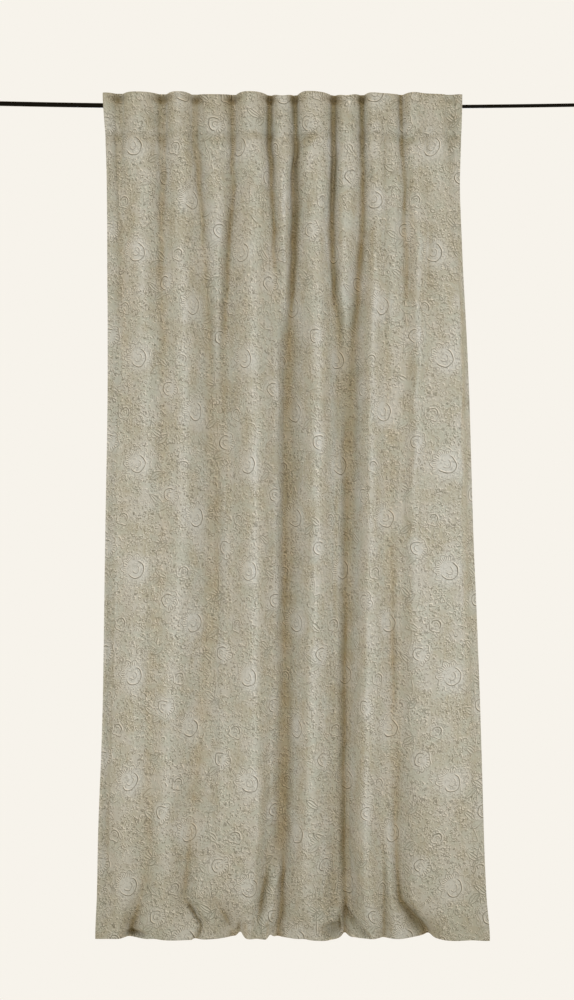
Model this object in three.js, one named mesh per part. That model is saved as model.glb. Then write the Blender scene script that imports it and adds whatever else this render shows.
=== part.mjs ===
// A printed curtain panel that hangs in soft vertical folds from a slim telescopic rod.
// The rod runs behind the heading, through ten narrow tabs sewn to the back of the panel.
// Millimetres, +Z up, +X to the viewer's right, the front of the cloth faces -Y.
// The origin is the middle of the rod's axis, halfway between the brackets that hold it.

import * as THREE from "three";

// Driving dimensions of the cloth
const FINISHED_WIDTH = 1400; // flat, between the side hems' outer edges
const DROP = 2500; // top edge to hem
const HEADER = 31; // cloth that stands above the rod's axis
const HEADING_BAND = 120; // depth of the turned and stitched heading
const SIDE_HEM = 35;
const BOTTOM_HEM = 60;
const CLOTH = 1.6; // single cloth, as thick as it lies with its print and weave
const HEADING_CLOTH = 3; // three layers at the heading
const HEM_CLOTH = 2.4; // side and bottom hems

// Driving dimensions of the rod
const ROD_LENGTH = 1800;
const ROD_BOW = 9.3; // how far the loaded rod sinks over half its length
const ROD_LOW_X = 126; // where it hangs lowest: the slim tube bends more than the wide one
const WIDE_TUBE_RADIUS = 7;
const SLIM_TUBE_RADIUS = 5.25;
const BORE_CLEARANCE = 0.4; // around the slim tube inside the wide one
const WIDE_TUBE_END = 95; // x where the wide tube stops and the slim one shows
const TUBE_OVERLAP = 150; // how far the slim tube reaches into the wide one
const TUBE_CHAMFER = 1;
const ROD_SIDES = 24;
const ROD_STEPS = 12;

// Driving dimensions of the tabs
const TAB_WIDTH = 22;
const TAB_THICKNESS = 1.6;
const TAB_TOP_SEAM = 10; // height of the stitched top end
const TAB_BOTTOM_SEAM = 12;
const TAB_BELOW_EDGE = 4; // the tab's top end lies this far under the cloth's top edge
const TAB_ARC_STEPS = 7;

// Clearances
const SEAM_GAP = 0.3; // between pieces that touch
const ROD_TO_CLOTH = 2; // between the rod and the cloth in front of it

const halfRod = ROD_LENGTH / 2;
const sag = (x) => ROD_BOW * ((x - ROD_LOW_X) / halfRod) ** 2;
const rodHeight = (x) => sag(x) - sag(0);

// Each fold line runs from the heading to the hem. "x" is where it lies across the curtain and "out" how far
// it stands in front of the tabs' line, both at the drops in STATIONS. "flat" is half the width that a tab
// holds still. GROOVE_POINT says at each drop how sharp the grooves are: over 1 pinched, under 1 rounded.
const STATIONS = [0, 120, 250, 450, 800, 1300, 1800, 2200, 2370, 2500];
const GROOVE_POINT = [2.6, 2.6, 1.9, 1.1, 0.6, 0.45, 0.5, 1.0, 1.3, 1.3];
const FOLD_LINES = [
  { fold: "left edge",
    x: [-530, -523, -519, -518, -516, -523, -530, -544, -548, -553],
    out: [18, 17, 10, 4, 8, 8, 12, 12, 12, 12] },
  { fold: "tab 1", flat: 10,
    x: [-484, -484, -483, -476, -470, -500, -508, -518, -517, -510],
    out: [0, 0, -8, -6, -8, -4, -4, -2, 0, 10] },
  { fold: "bulge 1",
    x: [-431, -424, -404, -418, -398, -402, -434, -466, -472, -487],
    out: [36, 35, 27, 30, 24, 24, 24, 22, 20, 8] },
  { fold: "tab 2", flat: 10,
    x: [-355, -355, -354, -359, -350, -352, -396, -394, -417, -457],
    out: [0, 0, -6, -3, 6, 10, 12, 2, -12, -34] },
  { fold: "bulge 2",
    x: [-306, -307, -298, -296, -291, -296, -335, -347, -346, -336],
    out: [44, 40, 30, 32, 38, 32, 38, 26, 24, 20] },
  { fold: "tab 3", flat: 8,
    x: [-260, -260, -247, -236, -216, -210, -238, -275, -290, -252],
    out: [0, 0, -8, -13, -20, -19, -22, -22, -14, 6] },
  { fold: "bulge 3",
    x: [-202, -196, -190, -188, -194, -194, -204, -212, -241, -200],
    out: [12, 34, 28, 6, -14, -24, -14, 4, 18, -2] },
  { fold: "tab 4", flat: 6,
    x: [-145, -145, -146, -158, -172, -158, -170, -176, -200, -148],
    out: [0, 0, -5, -18, -20, -4, 4, 18, 2, -50] },
  { fold: "bulge 4",
    x: [-98, -86, -78, -89, -82, -80, -83, -76, -96, -100],
    out: [52, 48, 42, 42, 48, 52, 46, 32, 20, -6] },
  { fold: "tab 5", flat: 4.5,
    x: [-38, -38, -32, -25, -22, -25, -30, -44, -62, -78],
    out: [0, 0, 5, 4, 10, 8, -2, -16, -30, -16] },
  { fold: "bulge 5",
    x: [-4, -1, 4, 6, 8, 4, 4, -10, -27, -45],
    out: [34, 44, 40, 24, -26, -33, -36, -38, -2, 2] },
  { fold: "tab 6", flat: 4.5,
    x: [38, 38, 33, 30, 22, 24, 16, 6, -1, -14],
    out: [0, 0, -14, -20, -29, -27, -34, -42, -38, -42] },
  { fold: "bulge 6",
    x: [76, 100, 108, 102, 104, 101, 86, 78, 67, 90],
    out: [57, 54, 44, 38, 44, 38, 32, 30, 29, 8] },
  { fold: "tab 7", flat: 4.5,
    x: [151, 151, 150, 148, 166, 160, 151, 146, 144, 148],
    out: [0, 0, -8, -10, -18, -8, -8, -10, -24, -10] },
  { fold: "bulge 7",
    x: [188, 184, 182, 180, 187, 192, 188, 186, 190, 186],
    out: [32, 42, 38, 30, -22, -36, -40, -46, -54, -62] },
  { fold: "tab 8", flat: 4.5,
    x: [236, 236, 238, 232, 212, 203, 197, 195, 203, 214],
    out: [0, 0, -4, -12, -28, -34, -32, -36, -46, -34] },
  { fold: "bulge 8",
    x: [266, 272, 284, 278, 264, 260, 248, 242, 250, 262],
    out: [38, 42, 34, 32, 42, 36, 38, 36, 29, 0] },
  { fold: "dip",
    x: [300, 300, 300, 302, 305, 308, 312, 296, 300, 300],
    out: [28, 24, 20, 18, 14, 4, -2, -8, -12, -32] },
  { fold: "side fold",
    x: [324, 326, 328, 328, 323, 322, 327, 312, 322, 340],
    out: [20, 28, 27, 27, 16, 2, -12, -8, 4, -8] },
  { fold: "tab 9", flat: 4.5,
    x: [351, 351, 358, 364, 372, 352, 344, 337, 345, 434],
    out: [4, 4, 9, 8, 16, 12, -6, -26, -24, -60] },
  { fold: "bulge 9",
    x: [389, 390, 393, 402, 398, 388, 388, 388, 386, 460],
    out: [40, 34, 32, 36, 32, 34, 22, 16, 18, -8] },
  { fold: "shelf",
    x: [424, 420, 421, 430, 422, 420, 423, 428, 429, 487],
    out: [22, 16, 17, 17, 20, 24, 34, 32, 24, 18] },
  { fold: "end fold",
    x: [456, 456, 466, 478, 480, 478, 466, 466, 470, 514],
    out: [16, 22, 22, 27, 24, 32, 34, 36, 26, 22] },
  { fold: "tab 10", flat: 8,
    x: [495, 495, 505, 511, 522, 520, 524, 536, 540, 560],
    out: [0, 0, 8, 14, 30, 26, 26, 12, 16, 18] },
  { fold: "right edge",
    x: [531, 528, 525, 532, 551, 567, 586, 596, 603, 611],
    out: [8, 10, 4, 0, -8, -12, -8, 4, 4, 24] },
];

// Tucks that the stitching draws in at the top edge and the hem: half as wide, how deep, how far they reach
// into the cloth, and how much they lift its edge.
const TUCKS = [
  { edge: 0, x: -2, half: 26, depth: 0, reach: 110, lift: -8 },
  { edge: 0, x: 187, half: 26, depth: 0, reach: 110, lift: -7 },
  { edge: DROP, x: -380, half: 18, depth: 8, reach: 70, lift: 0 },
  { edge: DROP, x: -126, half: 10, depth: 10, reach: 70, lift: 15 },
  { edge: DROP, x: -36, half: 8, depth: 0, reach: 40, lift: 9 },
  { edge: DROP, x: 64, half: 14, depth: 10, reach: 120, lift: 0 },
  { edge: DROP, x: 186, half: 9, depth: 0, reach: 60, lift: 8 },
  { edge: DROP, x: 437, half: 11, depth: 0, reach: 60, lift: 5 },
];

// How the panel is divided: rows by drop, and steps across each slope between two fold lines
const ROW_DROPS = [
  0, 60, 120, 155, 200, 260, 330, 400, 480, 570, 680, 800, 930, 1080, 1250, 1430, 1620, 1800, 1960, 2100, 2210,
  2290, 2350, 2400, 2440, 2475, 2500,
];
const SLOPE_STEPS = 4;
const FLAT_ENDS = 420; // below this drop the cloth lies flat at a tab's line for NARROWED_FLAT alone
const NARROWED_FLAT = 2;

const clothFront = -(WIDE_TUBE_RADIUS + ROD_TO_CLOTH + HEADING_CLOTH);

const clamp = (value, low, high) => Math.min(high, Math.max(low, value));
const smooth = (low, high, value) => {
  const t = clamp((value - low) / (high - low), 0, 1);
  return t * t * (3 - 2 * t);
};

// Slopes of a curve through the knots that never overshoots them: level at each crest and trough
function levelSlopes(xs, ys) {
  const rise = xs.slice(1).map((x, i) => (ys[i + 1] - ys[i]) / (x - xs[i]));
  return xs.map((_, i) => {
    const before = rise[i - 1];
    const after = rise[i];
    if (before === undefined || after === undefined || before * after <= 0) return 0;
    return (2 * before * after) / (before + after);
  });
}

// A curve over one span from its end values and end slopes, at t from 0 to 1
function hermite(span, start, end, startSlope, endSlope, t) {
  const placed = start * (1 + 2 * t) * (1 - t) ** 2 + end * t * t * (3 - 2 * t);
  return placed + span * (startSlope * t * (1 - t) ** 2 - endSlope * t * t * (1 - t));
}

function alongStations(values, drop) {
  const i = Math.min(STATIONS.findLastIndex((s) => s <= drop), STATIONS.length - 2);
  const slopes = levelSlopes(STATIONS, values);
  return hermite(STATIONS[i + 1] - STATIONS[i], values[i], values[i + 1], slopes[i], slopes[i + 1],
    (drop - STATIONS[i]) / (STATIONS[i + 1] - STATIONS[i]));
}

// The knots of one row: a plain fold line gives one, a tab one at each end of its flat
function rowKnots(drop, swell) {
  const belowTabs = smooth(HEADING_BAND, FLAT_ENDS, drop);
  const knots = [];
  for (const line of FOLD_LINES) {
    const x = alongStations(line.x, drop);
    const out = alongStations(line.out, drop);
    if (line.flat === undefined) {
      knots.push({ x, out: out * swell, steps: SLOPE_STEPS });
      continue;
    }
    const flat = line.flat + (NARROWED_FLAT - line.flat) * belowTabs;
    const deepened = out * (1 + (swell - 1) * belowTabs);
    knots.push({ x: x - flat, out: deepened, steps: 1 });
    knots.push({ x: x + flat, out: deepened, steps: SLOPE_STEPS });
  }
  return knots;
}

// How much the tucks pull a point back, and how much they lift it
function tucksAt(x, drop) {
  const pull = { back: 0, up: 0 };
  for (const tuck of TUCKS) {
    const across = (x - tuck.x) / tuck.half;
    const share = (1 - smooth(0, tuck.reach, Math.abs(drop - tuck.edge))) * Math.exp(-across * across);
    pull.back += tuck.depth * share;
    pull.up += tuck.lift * share;
  }
  return pull;
}

// One row of the cloth as points [x, out, up], with the folds deepened by "swell"
function rowPoints(drop, swell) {
  const knots = rowKnots(drop, swell);
  const slopes = levelSlopes(knots.map((k) => k.x), knots.map((k) => k.out));
  const point = alongStations(GROOVE_POINT, drop);
  const isLow = knots.map(
    ({ out }, i) => i > 0 && i + 1 < knots.length && out <= knots[i - 1].out && out <= knots[i + 1].out,
  );
  const points = [];
  for (let i = 0; i + 1 < knots.length; i++) {
    const [a, b] = [knots[i], knots[i + 1]];
    const span = b.x - a.x;
    const pinched = (point * (b.out - a.out)) / span;
    const leaving = isLow[i] ? pinched : slopes[i];
    const arriving = isLow[i + 1] ? pinched : slopes[i + 1];
    for (let k = 0; k < a.steps; k++) {
      const t = k / a.steps;
      points.push([a.x + span * t, hermite(span, a.out, b.out, leaving, arriving, t)]);
    }
  }
  points.push([knots.at(-1).x, knots.at(-1).out]);
  return points.map(([x, out]) => {
    const pull = tucksAt(x, drop);
    return [x, out - pull.back, pull.up];
  });
}

const lengthOf = (points) =>
  points.slice(1).reduce((sum, p, i) => sum + Math.hypot(p[0] - points[i][0], p[1] - points[i][1]), 0);

// Cloth doesn't stretch, so each row's folds are as deep as it takes to use up the finished width
function foldedRow(drop) {
  let low = 0.2;
  let high = 3;
  for (let halving = 0; halving < 24; halving++) {
    const middle = (low + high) / 2;
    if (lengthOf(rowPoints(drop, middle)) < FINISHED_WIDTH) low = middle;
    else high = middle;
  }
  return rowPoints(drop, low);
}

function clothThickness(along, drop) {
  const fromSide = Math.min(along, FINISHED_WIDTH - along);
  if (drop <= HEADING_BAND) return HEADING_CLOTH;
  if (fromSide < SIDE_HEM || drop > DROP - BOTTOM_HEM) return HEM_CLOTH;
  return CLOTH;
}

// A closed body from a grid of front points and the same grid moved back by the cloth's thickness
function curtainPanel() {
  const placed = ([x, out, up], drop) => new THREE.Vector3(x, clothFront - out, HEADER - drop + up + rodHeight(x));
  const rows = ROW_DROPS.map((drop) => foldedRow(drop).map((point) => placed(point, drop)));
  const columns = rows[0].length;
  const vertices = [];
  const at = (layer, r, c) => (layer * rows.length + r) * columns + c;
  const clip = (value, count) => clamp(value, 0, count - 1);
  for (const layer of [0, 1]) {
    rows.forEach((row, r) => {
      let along = 0;
      row.forEach((point, c) => {
        if (c) along += point.distanceTo(row[c - 1]);
        const across = row[clip(c + 1, columns)].clone().sub(row[clip(c - 1, columns)]);
        const down = rows[clip(r + 1, rows.length)][c].clone().sub(rows[clip(r - 1, rows.length)][c]);
        const back = across.cross(down).normalize();
        const moved = point.clone().addScaledVector(back, layer * clothThickness(along, ROW_DROPS[r]));
        vertices.push(...moved.toArray());
      });
    });
  }
  const faces = [];
  const quad = (a, b, c, d) => faces.push(a, b, c, a, c, d);
  for (let r = 0; r + 1 < rows.length; r++) {
    for (let c = 0; c + 1 < columns; c++) {
      quad(at(0, r, c), at(0, r + 1, c), at(0, r + 1, c + 1), at(0, r, c + 1));
      quad(at(1, r, c), at(1, r, c + 1), at(1, r + 1, c + 1), at(1, r + 1, c));
    }
    quad(at(0, r, 0), at(1, r, 0), at(1, r + 1, 0), at(0, r + 1, 0));
    quad(at(0, r, columns - 1), at(0, r + 1, columns - 1), at(1, r + 1, columns - 1), at(1, r, columns - 1));
  }
  for (let c = 0; c + 1 < columns; c++) {
    const last = rows.length - 1;
    quad(at(0, 0, c), at(0, 0, c + 1), at(1, 0, c + 1), at(1, 0, c));
    quad(at(0, last, c), at(1, last, c), at(1, last, c + 1), at(0, last, c + 1));
  }
  const geometry = new THREE.BufferGeometry();
  geometry.setAttribute("position", new THREE.Float32BufferAttribute(vertices, 3));
  geometry.setIndex(faces);
  return geometry;
}

// A tube turned about X from a profile of [radius, x] points, then bent to the rod's bow
function bentTube(profile) {
  const points = profile.map(([radius, x]) => new THREE.Vector2(radius, x));
  const geometry = new THREE.LatheGeometry(points, ROD_SIDES).rotateZ(-Math.PI / 2);
  const position = geometry.getAttribute("position");
  for (let i = 0; i < position.count; i++) {
    position.setZ(i, position.getZ(i) + rodHeight(position.getX(i)));
  }
  return geometry;
}

const lengthwise = (radius, from, to) =>
  Array.from({ length: ROD_STEPS + 1 }, (_, i) => [radius, from + ((to - from) * i) / ROD_STEPS]);

function wideTube() {
  const bore = SLIM_TUBE_RADIUS + BORE_CLEARANCE;
  const boreFloor = WIDE_TUBE_END - TUBE_OVERLAP;
  return bentTube([
    [0, -halfRod],
    [WIDE_TUBE_RADIUS - TUBE_CHAMFER, -halfRod],
    ...lengthwise(WIDE_TUBE_RADIUS, -halfRod + TUBE_CHAMFER, WIDE_TUBE_END),
    [bore, WIDE_TUBE_END],
    [bore, (WIDE_TUBE_END + boreFloor) / 2],
    [bore, boreFloor],
    [0, boreFloor],
  ]);
}

function slimTube() {
  const start = WIDE_TUBE_END - TUBE_OVERLAP + SEAM_GAP;
  return bentTube([
    [0, start],
    ...lengthwise(SLIM_TUBE_RADIUS, start, halfRod - TUBE_CHAMFER),
    [SLIM_TUBE_RADIUS - TUBE_CHAMFER, halfRod],
    [0, halfRod],
  ]);
}

// The tab's middle line seen from the side, as [y, z] about the rod's axis: stitched at the top, over the rod
// and down its back, then forward to the seam at the foot of the heading
function tabLine(rodRadius, out) {
  const seamY = clothFront - out + HEADING_CLOTH + SEAM_GAP + TAB_THICKNESS / 2;
  const topZ = HEADER - TAB_BELOW_EDGE;
  const leaveZ = topZ - TAB_TOP_SEAM;
  const footZ = HEADER - HEADING_BAND;
  const meetZ = footZ + TAB_BOTTOM_SEAM;
  const wrap = rodRadius + SEAM_GAP + TAB_THICKNESS / 2;
  const tangent = (z, turn) => Math.atan2(z, seamY) + turn * Math.acos(wrap / Math.hypot(seamY, z));
  const from = tangent(leaveZ, -1);
  const to = tangent(meetZ, 1);
  const arc = Array.from({ length: TAB_ARC_STEPS + 1 }, (_, i) => {
    const angle = from + ((to - from) * i) / TAB_ARC_STEPS;
    return [wrap * Math.cos(angle), wrap * Math.sin(angle)];
  });
  return [[seamY, topZ], [seamY, leaveZ], ...arc, [seamY, meetZ], [seamY, footZ]];
}

function backTab(x, out) {
  const line = tabLine(x < WIDE_TUBE_END ? WIDE_TUBE_RADIUS : SLIM_TUBE_RADIUS, out);
  const side = (turn) =>
    line.map(([y, z], i) => {
      const [ay, az] = line[Math.max(0, i - 1)];
      const [by, bz] = line[Math.min(line.length - 1, i + 1)];
      const long = Math.hypot(by - ay, bz - az);
      const half = (turn * TAB_THICKNESS) / 2;
      return new THREE.Vector2(y + ((bz - az) / long) * half, z - ((by - ay) / long) * half);
    });
  const outline = new THREE.Shape([...side(1), ...side(-1).reverse()]);
  const sweep = { depth: TAB_WIDTH, bevelEnabled: false, curveSegments: 1 };
  const geometry = new THREE.ExtrudeGeometry(outline, sweep);
  // The outline's y and z become the part's y and z, and the extrusion runs along x
  geometry.applyMatrix4(new THREE.Matrix4().set(0, 0, 1, 0, 1, 0, 0, 0, 0, 1, 0, 0, 0, 0, 0, 1));
  return geometry.translate(x - TAB_WIDTH / 2, 0, rodHeight(x));
}

const printedCloth = new THREE.MeshStandardMaterial({ color: 0xaca694, roughness: 0.92, metalness: 0 });
const plainTape = new THREE.MeshStandardMaterial({ color: 0xc4bfae, roughness: 0.9, metalness: 0 });
const blackLacquer = new THREE.MeshStandardMaterial({ color: 0x0c0c0c, roughness: 0.35, metalness: 0.1 });

const curtain = new THREE.Group();

function add(name, geometry, material) {
  const mesh = new THREE.Mesh(geometry, material);
  mesh.name = name;
  curtain.add(mesh);
}

add("curtain_panel", curtainPanel(), printedCloth);
add("rod_wide_tube", wideTube(), blackLacquer);
add("rod_slim_tube", slimTube(), blackLacquer);
FOLD_LINES.filter((line) => line.flat !== undefined).forEach((line, i) => {
  add(`back_tab_${i + 1}`, backTab(line.x[0], line.out[0]), plainTape);
});

export default curtain;
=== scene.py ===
# %% [markdown]
# # A printed curtain on a slim black rod
#
# The lesson dresses a imported model of a curtain. The model gives the sizes and the places, and every
# piece made here lies on it: the cloth on its solid's folds, the straps behind the heading, the two tubes
# of the rod. It starts by loading that model.

import bpy
import numpy as np
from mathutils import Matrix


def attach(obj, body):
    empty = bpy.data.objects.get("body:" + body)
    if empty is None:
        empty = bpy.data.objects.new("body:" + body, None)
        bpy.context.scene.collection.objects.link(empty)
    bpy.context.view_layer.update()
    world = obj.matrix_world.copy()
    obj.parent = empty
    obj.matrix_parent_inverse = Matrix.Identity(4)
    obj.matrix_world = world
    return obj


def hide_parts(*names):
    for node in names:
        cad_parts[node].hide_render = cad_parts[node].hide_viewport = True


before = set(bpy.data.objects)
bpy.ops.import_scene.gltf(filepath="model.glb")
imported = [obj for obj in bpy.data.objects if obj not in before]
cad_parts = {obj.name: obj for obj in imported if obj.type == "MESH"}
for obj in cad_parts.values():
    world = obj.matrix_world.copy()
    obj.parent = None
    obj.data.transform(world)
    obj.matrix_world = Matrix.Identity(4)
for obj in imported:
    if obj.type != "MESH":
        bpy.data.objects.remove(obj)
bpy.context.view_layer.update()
print("nodes:", sorted(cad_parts))

# %% [markdown]
# ## The camera and the picture
#
# The curtain is seen from five metres, level with its middle. The lens follows from that distance and
# from the height that the picture takes in at the cloth. The camera comes first because every later
# choice is judged by it.

# %% The camera
MM = 0.001
PICTURE_HEIGHT_PX = 1000
MM_PER_PX = 2.96  # at the cloth
ROD_MIDDLE_PX = (282.5, 105.8)  # where the model's origin shows in the picture
PICTURE_MIDDLE_PX = (287, 500)
VIEW_DISTANCE = 5.0
CLOTH_MIDDLE_Y = -0.017
SENSOR = 36.0

view_x = (PICTURE_MIDDLE_PX[0] - ROD_MIDDLE_PX[0]) * MM_PER_PX * MM
view_z = (ROD_MIDDLE_PX[1] - PICTURE_MIDDLE_PX[1]) * MM_PER_PX * MM
picture_height = PICTURE_HEIGHT_PX * MM_PER_PX * MM

camera_data = bpy.data.cameras.new("picture_camera")
camera_data.sensor_width = SENSOR
camera_data.lens = SENSOR * VIEW_DISTANCE / picture_height
camera = bpy.data.objects.new("picture_camera", camera_data)
camera.location = (view_x, CLOTH_MIDDLE_Y - VIEW_DISTANCE, view_z)
camera.rotation_euler = (np.pi / 2, 0, 0)
bpy.context.scene.collection.objects.link(camera)
bpy.context.scene.camera = camera
print("lens:", round(camera_data.lens, 2), "mm")

# %% [markdown]
# ## The folds
#
# A hung cloth is a flat rectangle that was only bent, so it keeps its width in every row. Each fold line
# below says where it lies at ten drops and how far it stands forward there, and flat is half the width
# that a tab holds still. A smooth curve joins the lines across a row, and the row's folds are then
# deepened until its length is the cloth's flat width. Simulated cloth would also keep its size, but it
# would fall in folds of its own, not in the picture's.

# %% Sizes of the cloth, in millimetres
PANEL_WIDTH = 1400
DROP = 2500
HEADER = 31  # cloth above the rod's axis
HEADING_BAND = 120
SIDE_HEM = 35
BOTTOM_HEM = 60
TAB_WIDTH = 22
ROD_RADIUS_WIDE = 7
ROD_RADIUS_SLIM = 5.25
ROD_LOW_X = 126
ROD_BOW = 9.3
HALF_ROD = 900
HEADING_CLOTH = 3.0
HEM_CLOTH = 2.4
CLOTH = 1.6
ROD_TO_CLOTH = 2
CLOTH_FRONT = -(ROD_RADIUS_WIDE + ROD_TO_CLOTH + HEADING_CLOTH)

# The drops that the tables below speak of, and how pointed the grooves are there, 0 being round
STATIONS = [0, 120, 250, 450, 800, 1300, 1800, 2200, 2370, 2500]
GROOVE_POINT = [2.6, 2.6, 1.9, 1.1, 0.6, 0.45, 0.5, 1.0, 1.3, 1.3]
FOLD_LINES = [
    {"x": [-530, -523, -519, -518, -516, -523, -530, -544, -548, -553],  # left edge
     "out": [18, 17, 10, 4, 8, 8, 12, 12, 12, 12]},
    {"flat": 10, "x": [-484, -484, -483, -476, -470, -500, -508, -518, -517, -510],  # tab 1
     "out": [0, 0, -8, -6, -8, -4, -4, -2, 0, 10]},
    {"x": [-431, -424, -404, -418, -398, -402, -434, -466, -472, -487],  # bulge 1
     "out": [36, 35, 27, 30, 24, 24, 24, 22, 20, 8]},
    {"flat": 10, "x": [-355, -355, -354, -359, -350, -352, -396, -394, -417, -457],  # tab 2
     "out": [0, 0, -6, -3, 6, 10, 12, 2, -12, -34]},
    {"x": [-306, -307, -298, -296, -291, -296, -335, -347, -346, -336],  # bulge 2
     "out": [44, 40, 30, 32, 38, 32, 38, 26, 24, 20]},
    {"flat": 8, "x": [-260, -260, -247, -236, -216, -210, -238, -275, -290, -252],  # tab 3
     "out": [0, 0, -8, -13, -20, -19, -22, -22, -14, 6]},
    {"x": [-202, -196, -190, -188, -194, -194, -204, -212, -241, -200],  # bulge 3
     "out": [12, 34, 28, 6, -14, -24, -14, 4, 18, -2]},
    {"flat": 6, "x": [-145, -145, -146, -158, -172, -158, -170, -176, -200, -148],  # tab 4
     "out": [0, 0, -5, -18, -20, -4, 4, 18, 2, -50]},
    {"x": [-98, -86, -78, -89, -82, -80, -83, -76, -96, -100],  # bulge 4
     "out": [52, 48, 42, 42, 48, 52, 46, 32, 20, -6]},
    {"flat": 4.5, "x": [-38, -38, -32, -25, -22, -25, -30, -44, -62, -78],  # tab 5
     "out": [0, 0, 5, 4, 10, 8, -2, -16, -30, -16]},
    {"x": [-4, -1, 4, 6, 8, 4, 4, -10, -27, -45],  # bulge 5
     "out": [34, 44, 40, 24, -26, -33, -36, -38, -2, 2]},
    {"flat": 4.5, "x": [38, 38, 33, 30, 22, 24, 16, 6, -1, -14],  # tab 6
     "out": [0, 0, -14, -20, -29, -27, -34, -42, -38, -42]},
    {"x": [76, 100, 108, 102, 104, 101, 86, 78, 67, 90],  # bulge 6
     "out": [57, 54, 44, 38, 44, 38, 32, 30, 29, 8]},
    {"flat": 4.5, "x": [151, 151, 150, 148, 166, 160, 151, 146, 144, 148],  # tab 7
     "out": [0, 0, -8, -10, -18, -8, -8, -10, -24, -10]},
    {"x": [188, 184, 182, 180, 187, 192, 188, 186, 190, 186],  # bulge 7
     "out": [32, 42, 38, 30, -22, -36, -40, -46, -54, -62]},
    {"flat": 4.5, "x": [236, 236, 238, 232, 212, 203, 197, 195, 203, 214],  # tab 8
     "out": [0, 0, -4, -12, -28, -34, -32, -36, -46, -34]},
    {"x": [266, 272, 284, 278, 264, 260, 248, 242, 250, 262],  # bulge 8
     "out": [38, 42, 34, 32, 42, 36, 38, 36, 29, 0]},
    {"x": [300, 300, 300, 302, 305, 308, 312, 296, 300, 300],  # dip
     "out": [28, 24, 20, 18, 14, 4, -2, -8, -12, -32]},
    {"x": [324, 326, 328, 328, 323, 322, 327, 312, 322, 340],  # side fold
     "out": [20, 28, 27, 27, 16, 2, -12, -8, 4, -8]},
    {"flat": 4.5, "x": [351, 351, 358, 364, 372, 352, 344, 337, 345, 434],  # tab 9
     "out": [4, 4, 9, 8, 16, 12, -6, -26, -24, -60]},
    {"x": [389, 390, 393, 402, 398, 388, 388, 388, 386, 460],  # bulge 9
     "out": [40, 34, 32, 36, 32, 34, 22, 16, 18, -8]},
    {"x": [424, 420, 421, 430, 422, 420, 423, 428, 429, 487],  # shelf
     "out": [22, 16, 17, 17, 20, 24, 34, 32, 24, 18]},
    {"x": [456, 456, 466, 478, 480, 478, 466, 466, 470, 514],  # end fold
     "out": [16, 22, 22, 27, 24, 32, 34, 36, 26, 22]},
    {"flat": 8, "x": [495, 495, 505, 511, 522, 520, 524, 536, 540, 560],  # tab 10
     "out": [0, 0, 8, 14, 30, 26, 26, 12, 16, 18]},
    {"x": [531, 528, 525, 532, 551, 567, 586, 596, 603, 611],  # right edge
     "out": [8, 10, 4, 0, -8, -12, -8, 4, 4, 24]},
]
# Where an edge of the cloth is tucked back or lifted: the edge's drop, the middle and half the width of the
# place, how far back and how far into the cloth that goes, and how far up
TUCKS = [
    {"edge": 0, "x": -2, "half": 26, "depth": 0, "reach": 110, "lift": -8},
    {"edge": 0, "x": 187, "half": 26, "depth": 0, "reach": 110, "lift": -7},
    {"edge": DROP, "x": -380, "half": 18, "depth": 8, "reach": 70, "lift": 0},
    {"edge": DROP, "x": -126, "half": 10, "depth": 10, "reach": 70, "lift": 15},
    {"edge": DROP, "x": -36, "half": 8, "depth": 0, "reach": 40, "lift": 9},
    {"edge": DROP, "x": 64, "half": 14, "depth": 10, "reach": 120, "lift": 0},
    {"edge": DROP, "x": 186, "half": 9, "depth": 0, "reach": 60, "lift": 8},
    {"edge": DROP, "x": 437, "half": 11, "depth": 0, "reach": 60, "lift": 5},
]
FLAT_ENDS = 420  # from this drop down the flat place at a tab's line is only NARROWED_FLAT to each side
NARROWED_FLAT = 2


# %% Curves through the fold lines
def smooth(low, high, value):
    """0 before low and 1 beyond high, with a soft step between. With low over high it falls."""
    t = np.clip((value - low) / (high - low), 0, 1)
    return t * t * (3 - 2 * t)


def level_slopes(xs, ys):
    """Slopes at the knots of a curve that never overshoots them: level at each crest and trough."""
    rise = np.diff(ys) / np.diff(xs)
    before, after = rise[:-1], rise[1:]
    slopes = np.zeros(len(xs))
    same_way = before * after > 0
    slopes[1:-1][same_way] = 2 * (before * after)[same_way] / (before + after)[same_way]
    return slopes


def hermite(span, start, end, start_slope, end_slope, t):
    """A smooth curve from start to end over a span, with a given slope at each."""
    placed = start * (1 + 2 * t) * (1 - t) ** 2 + end * t * t * (3 - 2 * t)
    return placed + span * (start_slope * t * (1 - t) ** 2 - end_slope * t * t * (1 - t))


def along_stations(values, drop):
    """One of the tables' rows, read at a drop between its stations."""
    xs, ys = np.array(STATIONS, float), np.array(values, float)
    i = min(np.searchsorted(xs, drop, side="right") - 1, len(xs) - 2)
    slopes, span = level_slopes(xs, ys), xs[i + 1] - xs[i]
    return hermite(span, ys[i], ys[i + 1], slopes[i], slopes[i + 1], (drop - xs[i]) / span)


def rod_height(x):
    """How far the rod's axis, and the cloth on it, lies above the middle of the rod at x."""
    return ROD_BOW * (((x - ROD_LOW_X) / HALF_ROD) ** 2 - (ROD_LOW_X / HALF_ROD) ** 2)


# %% One row of the cloth
LINE_STEPS = 40  # points between two knots
SWELL_LEAST = 0.2  # how many times as deep as in the table the folds may come out
SWELL_MOST = 3.0
SWELL_HALVINGS = 24


def row_knots(drop, swell):
    """The row's fold lines as x and out, with both ends of each flat place. swell deepens the folds."""
    below_tabs = smooth(HEADING_BAND, FLAT_ENDS, drop)
    knots = []
    for line in FOLD_LINES:
        x, out = along_stations(line["x"], drop), along_stations(line["out"], drop)
        if "flat" in line:
            flat = line["flat"] + (NARROWED_FLAT - line["flat"]) * below_tabs
            out *= 1 + (swell - 1) * below_tabs
            knots += [(x - flat, out), (x + flat, out)]
        else:
            knots.append((x, out * swell))
    return np.array(knots).T


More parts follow.
